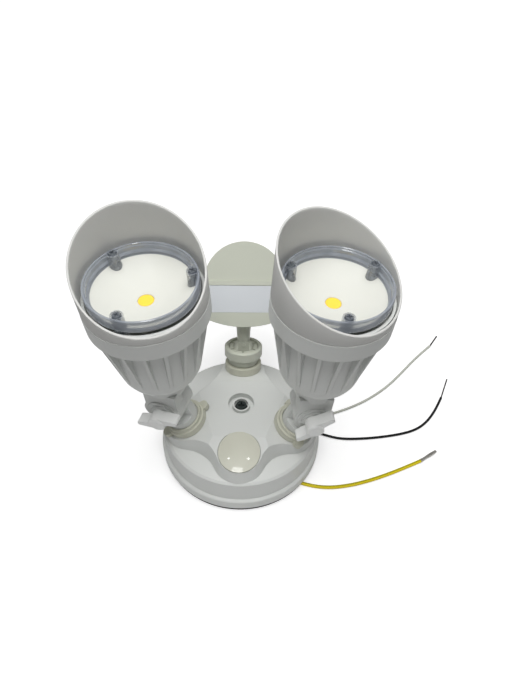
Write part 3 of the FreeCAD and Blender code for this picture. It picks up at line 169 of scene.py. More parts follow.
class Finish:
    """A material under construction, with one Principled shader."""

    def __init__(self, name, **constants):
        self.material = bpy.data.materials.new(name)
        self.material.use_nodes = True
        self.tree = self.material.node_tree
        self.shader = self.tree.nodes["Principled BSDF"]
        for socket, value in constants.items():
            self.shader.inputs[socket.replace("_", " ")].default_value = value

    def node(self, kind, settings, sockets, out=0):
        """Any node of that kind, with a wire from the chosen one of its outputs."""
        made = self.tree.nodes.new(kind)
        for key, value in settings.items():
            setattr(made, key, value)
        for key, value in sockets.items():
            if isinstance(value, Wire):
                self.tree.links.new(value.socket, made.inputs[key])
            else:
                made.inputs[key].default_value = value
        return Wire(self, made.outputs[out])

    def place(self):
        """Where a point lies on its piece, in metres."""
        return self.node("ShaderNodeTexCoord", {}, {}, "Object")

    def noise(self, size, detail=3.0, stretch=None):
        """Cloudy variation from 0 to 1 whose blotches are about size metres across."""
        at = self.place()
        if stretch:
            at = self.node("ShaderNodeVectorMath", {"operation": "MULTIPLY"}, {0: at, 1: stretch})
        sockets = {"Vector": at, "Scale": 1.0 / size, "Detail": detail}
        return self.node("ShaderNodeTexNoise", {}, sockets)

    def blend(self, share, first, second):
        """Colour first where share is 0, second where it is 1."""
        sockets = {MIX_FACTOR: share, MIX_FIRST: first, MIX_SECOND: second}
        return self.node("ShaderNodeMix", {"data_type": "RGBA"}, sockets, MIX_RESULT)

    def set(self, socket, wire):
        """Feed a socket of the shader."""
        self.tree.links.new(wire.socket, self.shader.inputs[socket])

    def bump(self, height, depth, soft=0.0):
        """Fine relief; soft is the radius that a moulded or painted edge has, in metres."""
        sockets = {"Height": height, "Distance": depth}
        if soft:
            sockets["Normal"] = self.node("ShaderNodeBevel", {"samples": BEVEL_SAMPLES}, {"Radius": soft})
        self.set("Normal", self.node("ShaderNodeBump", {}, sockets))


print("finish helper ready")

# %% [markdown]
# The castings and hoods carry a white powder coat. Powder melts into a skin with a very faint orange peel.
# Sculpting it would take millions of faces, so the coat gets a fine bump instead, and a cloudy change of
# tone of up to three percent keeps it from looking computed. The hoods are a little duller than the rest
# and the wing screws a little brighter.

# %% Powder coats
CLOUD_SIZE = 0.02
CLOUD_DETAIL = 4.0
GLOSS_SIZE = 0.006
GLOSS_SPREAD = 0.12      # how far the roughness swings between its dull and its glossy patches
NOISE_MIDDLE = 0.5
PEEL_DETAIL = 1.0


def coat(name, colour, tone=0.03, rough=0.42, peel=0.0012, depth=0.00002, soft=0.0005, **constants):
    """Paint or moulded plastic: cloudy tone, uneven gloss and a fine bump.

    Tone is how much darker the clouds get. Peel is the size of the bumps, depth their height and soft the
    radius of the edges, all in metres.
    """
    made = Finish(name, **constants)
    cloud = made.noise(CLOUD_SIZE, detail=CLOUD_DETAIL)
    shade = tuple(c * (1.0 - tone) for c in colour[:3]) + (1.0,)
    made.set("Base Color", made.blend(cloud, shade, colour))
    made.set("Roughness", (made.noise(GLOSS_SIZE) - NOISE_MIDDLE) * GLOSS_SPREAD + rough)
    made.bump(made.noise(peel, detail=PEEL_DETAIL), depth, soft=soft)
    return made


POWDER = coat("white_powder_coat", srgb(222, 224, 221), rough=0.40, soft=0.0008)
HOOD_COAT = coat("hood_powder_coat", srgb(216, 216, 213), rough=0.50, soft=0.0)
WING_COAT = coat("wing_screw_coat", srgb(246, 247, 245), rough=0.38, soft=0.0009)
print("coats made", len(bpy.data.materials))

# %% [markdown]
# The lock rings, the sensor head and the plug are moulded plastic, warmer in tone than the powder coat, with
# smaller and smoother bumps. The plug is the glossiest piece. A low roughness alone would make all of it
# mirror-like, so a clear coat over a duller base gives it sharp highlights on a soft body. The label is
# a smooth film, and the dish round each LED is smooth white plastic with hardly any bump.

# %% Plastics in sight
RING_PLASTIC = coat("lock_ring_plastic", srgb(208, 208, 192), rough=0.5, peel=0.0006)
SENSOR_PLASTIC = coat("sensor_plastic", srgb(208, 211, 197), rough=0.38, peel=0.0005, depth=0.00001)
PLUG_PLASTIC = coat("plug_plastic", srgb(211, 211, 196), rough=0.35, peel=0.0008, depth=0.000002, soft=0.0003,
                    Coat_Weight=0.8, Coat_Roughness=0.03)
LABEL_FILM = coat("label_film", srgb(222, 226, 230), rough=0.42, peel=0.0004, depth=0.000004, soft=0.0)
REFLECTOR_WHITE = coat("reflector_white", srgb(224, 224, 216), tone=0.015, rough=0.24, depth=0.000006,
                       soft=0.0)
print("plastics in sight made", len(bpy.data.materials))

# %% [markdown]
# Some pieces are hidden in the closed light, but all of them come into view when it is taken apart, so each
# has a finish that could pass for the real one: dull foam and rubber, and smooth plastics for the lens band
# and the electric parts.

# %% Plastics, foam and rubber inside
CELL_PLASTIC = coat("fresnel_plastic", srgb(232, 232, 226), rough=0.3)
FOAM = coat("gasket_foam", srgb(60, 60, 60), tone=0.3, rough=0.9, peel=0.0009, depth=0.0002)
SEAL_RUBBER = coat("seal_rubber", srgb(38, 38, 38), rough=0.7)
BLACK_PLASTIC = coat("black_plastic", srgb(34, 34, 34), rough=0.45, peel=0.0005)
BLUE_PLASTIC = coat("blue_plastic", srgb(52, 88, 150), rough=0.35, peel=0.0005)
print("inner plastics made", len(bpy.data.materials))

# %% [markdown]
# Bare metals differ from paint in one switch, Metallic, but a turned or stamped surface also has fine lines.
# They could come from a picture of brushed metal. Here a noise that is drawn out along one axis makes them,
# and it feeds the tone, the roughness and a shallow bump.

# %% Metals
LINE_STRETCH = (1.0, 1.0, 0.06)     # the small factor draws the noise out along Z
LINE_DETAIL = 2.0
LINE_TONE = 0.8                     # brightness of the darker lines
LINE_SPREAD = 0.2                   # how much rougher the brighter lines are
LINE_DEPTH = 0.00001


def metal(name, colour, rough=0.3, lines=0.0004):
    """Bare metal with fine lines, which are about that many metres apart."""
    made = Finish(name, Metallic=1.0)
    drawn = made.noise(lines, detail=LINE_DETAIL, stretch=LINE_STRETCH)
    dull = tuple(c * LINE_TONE for c in colour[:3]) + (1.0,)
    made.set("Base Color", made.blend(drawn, dull, colour))
    made.set("Roughness", drawn * LINE_SPREAD + rough)
    made.bump(drawn, LINE_DEPTH)
    return made


STEEL = metal("plated_steel", srgb(196, 196, 192))
DARK_STEEL = metal("blackened_steel", srgb(84, 92, 92), rough=0.42)
TIN = metal("tinned_copper", srgb(198, 196, 190), rough=0.30, lines=0.0002)
DARK_TIN = metal("tarnished_copper", srgb(72, 66, 62), rough=0.45, lines=0.0002)
LENS_STEEL = metal("lens_screw_steel", srgb(176, 182, 190), rough=0.5)
BOARD_METAL = metal("board_aluminium", srgb(214, 214, 210), rough=0.4)
print("metals made", len(bpy.data.materials))

# %% [markdown]
# A circuit board is green varnish that is lighter where copper lies under it. It sits inside the light, so it
# needs no true tracks: a noise that is cut at a limit gives flat patches with crisp edges, and the same mask
# makes them lighter, duller and a hair higher.

# %% Circuit board
TRACK_SIZE = 0.004
TRACK_LIMIT = 0.52
TRACK_DEPTH = 0.00003
VARNISH_ROUGH = 0.35
TRACK_ROUGHER = 0.15

CIRCUIT = Finish("circuit_board")
tracks = CIRCUIT.noise(TRACK_SIZE, detail=0.0).above(TRACK_LIMIT)
CIRCUIT.set("Base Color", CIRCUIT.blend(tracks, srgb(24, 84, 50), srgb(40, 112, 70)))
CIRCUIT.set("Roughness", tracks * TRACK_ROUGHER + VARNISH_ROUGH)
CIRCUIT.bump(tracks, TRACK_DEPTH)
print("circuit board made", len(bpy.data.materials))

# %% [markdown]
# Each LED is a disc of yellow phosphor in clear gel, with a fine grain. The light is switched off, so the
# weak emission in its own colour is painted light: it keeps the disc from going dull in the shade of the
# hood. A thin coat stands for the gel.

# %% LED phosphor
GRAIN_SIZE = 0.0007
GRAIN_DETAIL = 2.0
GRAIN_DEPTH = 0.00004
GEL_ROUGH = 0.3
GRAIN_ROUGHER = 0.1

# Its weak emission is painted light: the switched-off disc glows though it is no lamp.
PHOSPHOR_WITH_PAINTED_GLOW = Finish("led_phosphor_painted_glow", Coat_Weight=0.2, Emission_Strength=0.12)
grain = PHOSPHOR_WITH_PAINTED_GLOW.noise(GRAIN_SIZE, detail=GRAIN_DETAIL)
gel_colour_and_painted_glow = PHOSPHOR_WITH_PAINTED_GLOW.blend(grain, srgb(255, 204, 2), srgb(255, 222, 14))
PHOSPHOR_WITH_PAINTED_GLOW.set("Base Color", gel_colour_and_painted_glow)
# The gel colour also feeds the emission, as a painted glow against the shade of the hood.
PHOSPHOR_WITH_PAINTED_GLOW.set("Emission Color", gel_colour_and_painted_glow)
PHOSPHOR_WITH_PAINTED_GLOW.set("Roughness", grain * GRAIN_ROUGHER + GEL_ROUGH)
PHOSPHOR_WITH_PAINTED_GLOW.bump(grain, GRAIN_DEPTH)
print("phosphor made", len(bpy.data.materials))

# %% [markdown]
# The lens cover is clear plastic. Real refraction has to find its way through two thin walls, which is slow
# and goes dark at the edges. Alpha lets most of each surface through and keeps its reflections, which is how
# a thin clear moulding looks. The flat window is all but invisible. The stepped rim and the screw posts bend
# more light away, so their shade is painted in: a blue-grey that hides more, and on the posts light and dark
# streaks that are painted glints.

# %% Clear plastics
CLEAR_IOR = 1.5
WINDOW_CLOUD = 0.05
WINDOW_ALPHA = 0.03
WINDOW_SWING = 0.03
PAINTED_SHADE_DETAIL = 1.0


def clear_with_painted_shade(name, dark, light, size, rough, alpha, swing):
    """Clear plastic with painted shade: a blue-grey that hides more, cloudy between dark and light tones that
    are painted shade and painted glints.
    """
    made = Finish(name, Roughness=rough, IOR=CLEAR_IOR, Coat_Weight=1.0, Coat_Roughness=0.02)
    # The blend from the dark to the light colour is painted shade with painted glints, not a tint of the
    # plastic.
    cloud = made.noise(size, detail=PAINTED_SHADE_DETAIL)
    made.set("Base Color", made.blend(cloud, dark, light))
    made.set("Alpha", cloud * swing + alpha)
    return made


CLEAR = Finish("clear_window", Base_Color=srgb(235, 240, 240), Roughness=0.04, IOR=CLEAR_IOR)
CLEAR.set("Alpha", CLEAR.noise(WINDOW_CLOUD) * WINDOW_SWING + WINDOW_ALPHA)
# The blue-grey of the rim is painted shade. The dark-to-light streaks on the posts are painted shade and
# painted glints.
LENS_EDGE = clear_with_painted_shade("clear_lens_edge_painted_shade", srgb(150, 157, 168), srgb(176, 182, 191), size=0.009, rough=0.05,
                       alpha=0.56, swing=0.2)
LENS_POST = clear_with_painted_shade("clear_lens_post_painted_glints", srgb(120, 127, 138), srgb(205, 210, 216), size=0.002, rough=0.04,
                       alpha=0.28, swing=0.3)
print("clear plastics made", len(bpy.data.materials))

# %% [markdown]
# The finer meshes are round pieces, so they are grids: one row of points for each corner of the outline, one
# column for each angle. A Screw modifier could spin the outline too, but rows of points can also follow the
# slanted cut of a hood or the twist of a wire. The helpers weld such a grid into a closed mesh, set it in its
# place and shade it smooth except over sharp edges.

# %% Grid helpers
TURN = 2.0 * math.pi
WELD_DIST = 1e-7        # points closer than this, in metres, become one
SHARP_ANGLE = 38        # degrees from which an edge stays crisp


def grid_piece(name, rows, finish, where=None, closed_loop=False, sharp=SHARP_ANGLE):
    """Mesh from rows of equally many points round an axis, in millimetres.

    Its ends are capped unless the rows form a loop.
    """
    count = len(rows[0])
    points = [p for row in rows for p in row]
    faces = []
    last = len(rows) if closed_loop else len(rows) - 1
    for i in range(last):
        base = i * count
        above = ((i + 1) % len(rows)) * count
        for j in range(count):
            k = (j + 1) % count
            faces.append((base + j, base + k, above + k, above + j))
    if not closed_loop:
        faces.append(tuple(range(count - 1, -1, -1)))
        faces.append(tuple((len(rows) - 1) * count + j for j in range(count)))
    mesh = bpy.data.meshes.new(name)
    mesh.from_pydata([tuple(c * MM for c in p) for p in points], [], faces)
    solid = bmesh.new()
    solid.from_mesh(mesh)
    bmesh.ops.remove_doubles(solid, verts=solid.verts, dist=WELD_DIST)
    bmesh.ops.recalc_face_normals(solid, faces=solid.faces)
    solid.to_mesh(mesh)
    solid.free()
    if where is not None:
        mesh.transform(where)
    mesh.polygons.foreach_set("use_smooth", [True] * len(mesh.polygons))
    mesh.set_sharp_from_angle(angle=math.radians(sharp))
    mesh.materials.append(finish.material)
    made = bpy.data.objects.new(name, mesh)
    bpy.context.collection.objects.link(made)
    return made


def turned_rows(outline, segments):
    """Rows of a piece turned about Z from its outline of (radius, height)."""
    rows = []
    for radius, height in outline:
        rows.append([(radius * math.cos(TURN * j / segments), radius * math.sin(TURN * j / segments), height)
                     for j in range(segments)])
    return rows


print("grid helpers ready")

# %% [markdown]
# House wire is covered in thin, slightly waxy plastic. It is the same recipe as the other plastics with a
# weaker shine. The ground lead is yellow with a worn olive stripe. An image could carry the stripe, but here
# the side of the wire that faces one direction gets it: there the dot product of the surface normal with that
# direction is close to 1. A noise wears the stripe away in spots.

# %% Lead insulation
STRIPE_SIDE = (-0.10, 0.26, 0.96)
STRIPE_LIMIT = 0.86      # how squarely the surface has to face that side
WEAR_SIZE = 0.0012
WEAR_LIMIT = 0.36
YELLOW_CLOUD = 0.01


def insulation(name, colour):
    """Cover of a house wire."""
    return coat(name, colour, tone=0.05, rough=0.42, peel=0.0009, depth=0.000012, soft=0.0,
                Specular_IOR_Level=0.3)


LEAD_WHITE = insulation("insulation_white", srgb(196, 198, 188))
LEAD_BLACK = insulation("insulation_black", srgb(8, 8, 8))
LEAD_YELLOW = insulation("insulation_yellow", srgb(226, 206, 30))

side_seen = LEAD_YELLOW.node("ShaderNodeTexCoord", {}, {}, "Normal")
facing = LEAD_YELLOW.node("ShaderNodeVectorMath", {"operation": "DOT_PRODUCT"},
                          {0: side_seen, 1: STRIPE_SIDE}, "Value")
stripe = facing.above(STRIPE_LIMIT) * LEAD_YELLOW.noise(WEAR_SIZE).above(WEAR_LIMIT)
yellow = LEAD_YELLOW.blend(LEAD_YELLOW.noise(YELLOW_CLOUD), srgb(220, 198, 24), srgb(232, 212, 40))
LEAD_YELLOW.set("Base Color", LEAD_YELLOW.blend(stripe, yellow, srgb(172, 164, 18)))
print("insulation made", len(bpy.data.materials))

# %% [markdown]
# The three house leads lie loose on the table. Each is a free cord of fixed length, so it is a curve of one
# spline whose control points are the corners of its CAD route, and the thickness is a round bevel.
# A NURBS spline of order 3 stays close to those corners and never kinks.
# The order and the end flag are set after the points, since Blender drops them when they come first.

# %% Lead curves
BEVEL_STEPS = 6
CURVE_STEPS = 16
CURVE_ORDER = 3


def lead_curve(name, radius, points):
    """Round curve of that radius along control points in millimetres."""
    data = bpy.data.curves.new(name, "CURVE")
    data.dimensions = "3D"
    data.bevel_depth = radius * MM
    data.bevel_resolution = BEVEL_STEPS
    data.resolution_u = CURVE_STEPS
    data.use_fill_caps = True
    spline = data.splines.new("NURBS")
    spline.points.add(len(points) - 1)
    for slot, point in zip(spline.points, points):
        slot.co = (point[0] * MM, point[1] * MM, point[2] * MM, 1.0)
    spline.order_u = CURVE_ORDER
    spline.use_endpoint_u = True
    made = bpy.data.objects.new(name, data)
    bpy.context.collection.objects.link(made)
    return made


print("lead curves ready")

# %% [markdown]
# Each route starts inside the canopy at a height of its own and then runs over the table, so its corners are
# flat pairs of x and y in millimetres. Beside them stand the radius and the finish.

# %% Lead routes
LEAD_RISE = 19.4         # height of the first corner, inside the canopy
TABLE_GAP = 0.02         # air between the insulation and the table
ROUTES = {
    "white": (1.05, LEAD_WHITE, [(27.0, 9.0), (45.0, 17.0), (60.0, 23.4), (79.3, 31.7), (92.8, 37.9),
                                 (108.8, 47.5), (125.9, 61.5), (138.2, 74.6), (151.2, 90.2),
                                 (164.7, 105.9), (177.5, 118.7)]),
    "black": (1.05, LEAD_BLACK, [(27.0, 4.0), (47.0, 14.6), (60.0, 11.0), (72.9, 6.7), (81.0, 5.1),
                                 (90.0, 5.0), (104.3, 6.4), (118.9, 8.9), (132.8, 12.2), (144.4, 16.4),
                                 (153.6, 22.6), (161.6, 31.4), (169.4, 43.0), (175.2, 53.7)]),
    "ground": (1.4, LEAD_YELLOW, [(13.0, -23.0), (32.0, -33.0), (46.0, -37.4), (58.0, -40.4),
                                  (71.0, -41.0), (86.3, -38.2), (99.9, -33.9), (114.0, -28.3),
                                  (129.0, -21.4), (144.5, -13.6)]),
}
print("routes", {colour: len(flat) for colour, (radius, finish, flat) in ROUTES.items()})

# %% [markdown]
# The ground lead ends in bare strands of tinned copper that have come a little loose. A picture of a rope on
# a smooth pin would look flat from close by, so each strand is a thin mesh of its own, wound round the line
# from the end of the cover to the tip. The width of the bundle swells and shrinks on its way, and each
# strand thins at its cut end.

# %% Bare strands of the ground lead
BRAID_END = (159.0, -3.6)
BRAID_LIFT = 1.56        # height of the middle of the bundle
BRAID_R = 1.05
BRAID_COUNT = 7
BRAID_TWIST = 2.1        # turns from the cover to the tip
BRAID_STEPS = 48
BRAID_FULL = 0.86        # mean spread of the bundle, as a share of BRAID_R
BRAID_SWING = 0.14       # how far that share swells and shrinks
SWING_TURNS = 1.5
SWING_START = 0.3
STRAND_R = 0.46
STRAND_SIDES = 10
STRAND_TIP = 0.45        # thickness of the cut end as a share of STRAND_R


def strand_rows(number, start, way):
    """Rings of points along one strand that winds round the line from start."""
    side = way.cross(Vector((0.0, 0.0, 1.0))).normalized()
    rise = side.cross(way).normalized()
    rows = []
    for i in range(BRAID_STEPS + 1):
        t = i / BRAID_STEPS
        angle = TURN * (number / BRAID_COUNT + BRAID_TWIST * t)
        spread = BRAID_R * (BRAID_FULL + BRAID_SWING * math.sin(TURN * (SWING_TURNS * t + SWING_START)))
        middle = start + way * t + (side * math.cos(angle) + rise * math.sin(angle)) * spread
        thin = STRAND_R * (1.0 if i < BRAID_STEPS else STRAND_TIP)
        ring = []
        for j in range(STRAND_SIDES):
            around = TURN * j / STRAND_SIDES
            ring.append(middle + (side * math.cos(around) + rise * math.sin(around)) * thin)
        rows.append(ring)
    return rows


def braid_pieces():
    """Loosely twisted strands of the ground lead, from its cover to its end."""
    start = Vector((*ROUTES["ground"][2][-1], BRAID_LIFT))
    way = Vector((*BRAID_END, BRAID_LIFT)) - start
    strands = []
    for s in range(BRAID_COUNT):
        strand = grid_piece("braid_%d" % s, strand_rows(s, start, way), TIN)
        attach(strand, "base")
        strands.append(strand)
    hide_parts("tip_ground")
    return strands


print("strands", BRAID_COUNT, "steps", BRAID_STEPS)

# %% [markdown]
# Its bare end is the CAD tip, or the strands in the case of the ground lead.

# %% Leads
for colour, (radius, finish, flat) in ROUTES.items():
    resting = radius + TABLE_GAP
    route = [(*flat[0], LEAD_RISE)] + [(x, y, resting) for x, y in flat[1:]]
    lead = lead_curve("insulated_" + colour, radius, route)
    lead.data.materials.append(finish.material)
    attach(lead, "base")
    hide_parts("lead_" + colour)
    "lead_" + colour
    ends = braid_pieces() if colour == "ground" else [NODES["tip_" + colour]]
    tuple(v * MM for v in route[0])
    2 * radius * MM
    print("lead", colour, len(route), "points")

# %% [markdown]
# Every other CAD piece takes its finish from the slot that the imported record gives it. Naming finishes piece
# by piece would work too, but the slots keep like pieces alike. The dictionary is the whole colour scheme of
# the light in one place. Only the tips of two leads and the lens screws look different from their slot.

# %% Finish of each CAD piece
FINISH_OF_SLOT = {
    "white_coat": POWDER, "visor": HOOD_COAT, "grey_ring": RING_PLASTIC, "sensor_shell": SENSOR_PLASTIC,
    "plug": PLUG_PLASTIC, "wing": WING_COAT, "steel": STEEL, "dark_steel": DARK_STEEL, "foam": FOAM,
    "seal": SEAL_RUBBER, "circuit": CIRCUIT, "black_plastic": BLACK_PLASTIC, "blue_plastic": BLUE_PLASTIC,
    "tin": TIN, "board_alu": BOARD_METAL, "phosphor": PHOSPHOR_WITH_PAINTED_GLOW, "reflector": REFLECTOR_WHITE,
    "clear": CLEAR, "fresnel": CELL_PLASTIC, "lens_steel": LENS_STEEL, "dark_tin": DARK_TIN,
    "label": LABEL_FILM, "lead_white": LEAD_WHITE, "lead_black": LEAD_BLACK, "lead_ground": LEAD_YELLOW,
}
OTHER_SLOT = {"tip_white": "dark_tin", "tip_black": "dark_tin", "lens_screws_left": "lens_steel",
              "lens_screws_right": "lens_steel"}
for part in frame["record"]["subparts"]:
    piece = NODES[part["node"]]
    finish = FINISH_OF_SLOT[OTHER_SLOT.get(part["node"], part["material_slot"])]
    piece.data.materials.clear()
    piece.data.materials.append(finish.material)

# %% [markdown]
# Both lamp heads are the same casting in two poses, so their finer meshes are drawn once in the frame of the
# head and then set on each lamp. The frame is given by the centre of the joint between heat sink and hood,
# in millimetres, the pivot axis, and the axis of the head.

# %% Frame of a lamp head
HEADS = {
    "left": ((-52.223, -25.094, 170.904), (-0.26628, -0.95884, -0.09862), (-0.03288, -0.09322, 0.99510)),
    "right": ((53.385, -20.557, 171.085), (0.13279, -0.98971, -0.05337), (0.04150, -0.04825, 0.99797)),
}


def head_frame(side):
    """Matrix that sets a piece drawn in the frame of the head on that lamp."""
    joint, across, axis = (Vector(v) for v in HEADS[side])
    axis.normalize()
    across.normalize()
    turned = Matrix((across, axis.cross(across), axis)).transposed().to_4x4()
    return Matrix.Translation(joint * MM) @ turned


print("heads", {side: [round(v, 3) for v in head_frame(side).translation] for side in HEADS})

# %% [markdown]
# A hood is a thin cup whose mouth is cut at a slant, with a rolled rim. Cutting a turned cup with a slanted
# block would leave a raw edge that needs rounding after. So the section is drawn in two parts instead: the
# points of the foot keep their height, and those of the rim hang from the slanted cut at every angle. The
# wall thins toward the rim.

# %% Hoods
HOOD_R = 36.0
HOOD_BORE_R = 34.1
HOOD_RIM_W = 1.25
HOOD_RIM_R = HOOD_R - HOOD_RIM_W
HOOD_MID = 22.0                         # height of the cut on the axis
HOOD_SLOPE = math.tan(math.radians(25.4))
HOOD_TURN = math.radians(143.5)         # direction in which the cut falls
HOOD_LOWEST = 0.04
HOOD_SEGMENTS = 160
HOOD_SHARP = 60
HOOD_FOOT = [(HOOD_R, 0.5), (HOOD_R - 0.15, 0.15), (HOOD_R - 0.5, 0.02), (HOOD_BORE_R, 0.02)]
HOOD_RIM = [(HOOD_BORE_R, -12.0), (HOOD_RIM_R - 0.25, -2.2), (HOOD_RIM_R, -0.35), (HOOD_RIM_R + 0.12, -0.1),
            (HOOD_RIM_R + 0.35, 0.0), (HOOD_R - 0.35, 0.0), (HOOD_R - 0.12, -0.1), (HOOD_R, -0.35)]


def hood_rows():
    """Rows over the hood's section; those of the rim follow the slanted cut."""
    rows = [[] for part in HOOD_FOOT + HOOD_RIM]
    for j in range(HOOD_SEGMENTS):
        angle = TURN * j / HOOD_SEGMENTS
        lean = math.cos(angle + HOOD_TURN) * HOOD_SLOPE
        rim = [(radius, max(HOOD_MID + radius * lean + below, HOOD_LOWEST)) for radius, below in HOOD_RIM]
        for row, (radius, height) in zip(rows, HOOD_FOOT + rim):
            row.append((radius * math.cos(angle), radius * math.sin(angle), height))
    return rows


for side in HEADS:
    hood = grid_piece("hood_shell_" + side, hood_rows(), HOOD_COAT, head_frame(side), closed_loop=True,
                      sharp=HOOD_SHARP)
    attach(hood, "head_" + side)
    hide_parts("hood_" + side)
    print("hood", side, len(hood.data.polygons), "faces")

# %% [markdown]
# The phosphor disc of each LED sits in a thin white frame, which shows as a pale ring round the yellow.
# A ring of colour painted on the board would do from afar. A turned ring also catches light on its sloping
# top.

# %% LED frames
LED_SEGMENTS = 64
LED_OUTLINE = [(4.72, -3.5), (4.72, -2.75), (4.85, -2.6), (5.7, -2.42), (6.15, -2.36), (6.3, -2.6),
               (6.3, -3.5)]
for side in HEADS:
    led_frame = grid_piece("led_frame_" + side, turned_rows(LED_OUTLINE, LED_SEGMENTS), REFLECTOR_WHITE,
                           head_frame(side), closed_loop=True)
    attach(led_frame, "head_" + side)
print("led frames", len(HEADS))

# %% [markdown]
# The lens cover is one clear moulding: a thin window and a stepped rim, whose blue-grey is painted shade
# for the light that the thick rim bends away. Two meshes would leave a seam in the plastic, so one mesh takes
# two finishes, chosen by the distance of each face from the axis.

# %% Lens cover
COVER_R = 31.8
WINDOW_R = 28.75
COVER_FOOT = 6.22
WINDOW_TOP = 8.22
COVER_SEGMENTS = 128
LENS_SHARP = 30
EDGE_FINISH = 1
COVER_OUTLINE = [(0.0, COVER_FOOT), (WINDOW_R, COVER_FOOT), (COVER_R, COVER_FOOT), (COVER_R, 12.9),
                 (31.55, 13.35), (31.1, 13.6), (30.7, 13.55), (30.4, 13.3), (30.3, 12.4), (29.85, 12.0),
                 (29.7, 11.0), (29.6, 9.6), (29.2, 9.2), (28.95, 8.9), (WINDOW_R, WINDOW_TOP),
                 (0.0, WINDOW_TOP)]


def cover_piece(side):
    """Clear window with its stepped rim, on one lamp."""
    cover = grid_piece("lens_" + side, turned_rows(COVER_OUTLINE, COVER_SEGMENTS), CLEAR, head_frame(side),
                       sharp=LENS_SHARP)
    cover.data.materials.append(LENS_EDGE.material)
    back = head_frame(side).inverted()
    for face in cover.data.polygons:
        at = back @ face.center
        if math.hypot(at.x, at.y) > WINDOW_R * MM:
            face.material_index = EDGE_FINISH
    return cover


print("cover outline", len(COVER_OUTLINE), "corners")

# %% [markdown]
# Three screw posts stand in the rim of the cover. Each is a clear round boss with a rolled edge and a shallow
# seat on top, drawn on the axis of the head and then moved out and turned to its place.

# %% Lens covers with their posts
POST_COUNT = 3
POST_DIST = 28.0
POST_SEGMENTS = 40
POST_OUTLINE = [(0.0, -1.4), (3.6, -1.4), (3.6, 13.4), (3.45, 13.9), (3.1, 14.1), (2.85, 13.9),
                (2.75, 13.3), (2.7, 12.66), (0.0, 12.66)]


def post_piece(side, k):
    """One screw post of the lens cover."""
    spot = Matrix.Rotation(TURN * k / POST_COUNT, 4, "Z") @ Matrix.Translation((POST_DIST * MM, 0.0, 0.0))
    return grid_piece("lens_post_%s_%d" % (side, k), turned_rows(POST_OUTLINE, POST_SEGMENTS), LENS_POST,
                      head_frame(side) @ spot, sharp=LENS_SHARP)


for side in HEADS:
    cover = cover_piece(side)
    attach(cover, "head_" + side)
    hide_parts("lens_cover_" + side)
    for k in range(POST_COUNT):
        post = post_piece(side, k)
        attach(post, "head_" + side)
    print("lens cover", side, len(cover.data.polygons), "faces")

# %% [markdown]
# The product stands on a white sweep without a horizon. Here that is one large plane, which is staging and
# no part of the light. If it were plain white, its borders would come out grey and it would throw too much
# light back up. So it changes with the distance from the light: near it the table is white and glows a
# little, so it still catches the shadow, and farther out it is darker but glows fully. Only camera rays see
# the glow.

# %% Floor
TABLE_NEAR = (0.80, 0.42)    # whiteness and camera glow of the table close to the light
TABLE_FAR = (0.22, 1.00)     # the same farther out, so little light comes back from there
TABLE_R = (0.16, 0.42)       # distances between which the one turns into the other
FLOOR_SIZE = 6.0
FLOOR_ROUGH = 0.9
WHITE = (1.0, 1.0, 1.0, 1.0)

plane = bmesh.new()
bmesh.ops.create_grid(plane, x_segments=1, y_segments=1, size=FLOOR_SIZE)
floor_mesh = bpy.data.meshes.new("floor")
plane.to_mesh(floor_mesh)
plane.free()
floor = bpy.data.objects.new("floor", floor_mesh)
bpy.context.collection.objects.link(floor)

sweep = Finish("white_sweep", Roughness=FLOOR_ROUGH, Emission_Color=WHITE)
away = sweep.node("ShaderNodeVectorMath", {"operation": "LENGTH"}, {0: sweep.place()}, "Value")
far = sweep.node("ShaderNodeMapRange", {"interpolation_type": "SMOOTHSTEP"},
                 {"Value": away, "From Min": TABLE_R[0], "From Max": TABLE_R[1]})
sweep.set("Base Color", sweep.blend(far, (*[TABLE_NEAR[0]] * 3, 1.0), (*[TABLE_FAR[0]] * 3, 1.0)))
seen = sweep.node("ShaderNodeLightPath", {}, {}, "Is Camera Ray")
sweep.set("Emission Strength", seen * (far * (TABLE_FAR[1] - TABLE_NEAR[1]) + TABLE_NEAR[1]))
floor_mesh.materials.append(sweep.material)
print("floor from", TABLE_R[0], "to", TABLE_R[1], "metres changes its tone")

# %% [markdown]
# The world is an empty white studio. One strength for all rays would either grey the background or drown the
# shadows. The Light Path node tells the rays apart: the camera sees full white, reflections see less than
# half of it, so that glossy edges keep their contrast, and as light it is weak, so that the lamps draw the
# shadows. A small class lets the world use the same sums as the finishes.

# %% World
WORLD_LIGHT = 0.13
WORLD_GLOSS = 0.45
WORLD_SEEN = 1.0


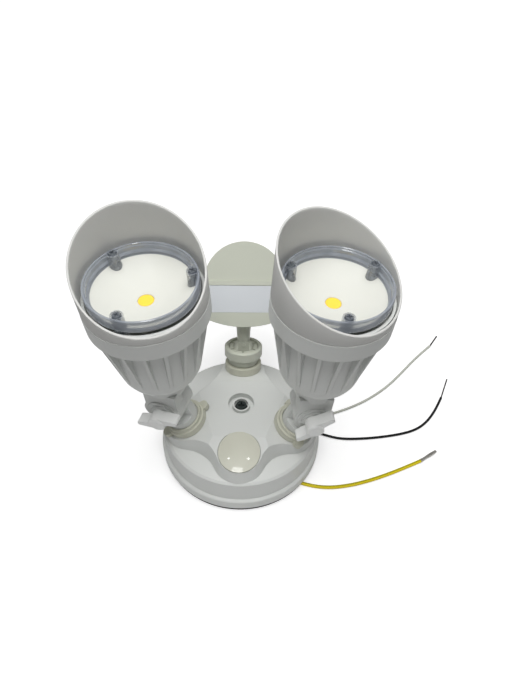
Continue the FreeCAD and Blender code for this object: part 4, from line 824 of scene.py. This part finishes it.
class Sky(Finish):
    """The world, whose Background node takes the place of a shader."""

    def __init__(self, name):
        self.world = bpy.data.worlds.new(name)
        self.world.use_nodes = True
        self.tree = self.world.node_tree
        self.shader = self.tree.nodes["Background"]


studio = Sky("studio")
bpy.context.scene.world = studio.world
studio.shader.inputs["Color"].default_value = WHITE
mirrored = studio.node("ShaderNodeLightPath", {}, {}, "Is Glossy Ray")
looked_at = studio.node("ShaderNodeLightPath", {}, {}, "Is Camera Ray")
studio.set("Strength", mirrored * (WORLD_GLOSS - WORLD_LIGHT) + WORLD_LIGHT
           + looked_at * (WORLD_SEEN - WORLD_LIGHT))
print("world strengths", WORLD_LIGHT, WORLD_GLOSS, WORLD_SEEN)

# %% [markdown]
# The photograph has soft shadows close round the light, so the main lamp is a large square overhead. Its
# mirror image would lie as a broad sheen on every glossy piece, so it is hidden from reflections. A small
# window in front and two tiny squares give the sharp glints on the coats instead. The Standard view shows
# white as white, where a filmic view would grey it.

# %% Lamps
KEY_HEIGHT = 1.3
MIDDLE = (0.0, 0.0, 0.1)
LAMPS = {                # place, target, width of the square in metres, watts
    "overhead": ((0.0, -0.10, KEY_HEIGHT), MIDDLE, 1.0, 14.4),
    "small_window": ((-0.05, -0.53, 1.25), (0.0, -0.04, 0.05), 0.28, 2.0),
    "spot_left": ((-0.31, -0.15, KEY_HEIGHT), MIDDLE, 0.06, 0.2),
    "spot_right": ((0.22, -0.15, KEY_HEIGHT), MIDDLE, 0.06, 0.2),
}


def softbox(name, place, target, size, watts):
    """Square lamp that shines from its place toward the target."""
    data = bpy.data.lights.new(name, "AREA")
    data.shape = "SQUARE"
    data.size = size
    data.energy = watts
    lamp = bpy.data.objects.new(name, data)
    lamp.location = place
    aim = Vector(target) - Vector(place)
    lamp.rotation_mode = "QUATERNION"
    lamp.rotation_quaternion = aim.to_track_quat("-Z", "Y")
    bpy.context.collection.objects.link(lamp)
    return lamp


lamps = {name: softbox(name, *about) for name, about in LAMPS.items()}
lamps["overhead"].visible_glossy = False
bpy.context.scene.view_settings.view_transform = "Standard"
print("lamps", list(lamps))
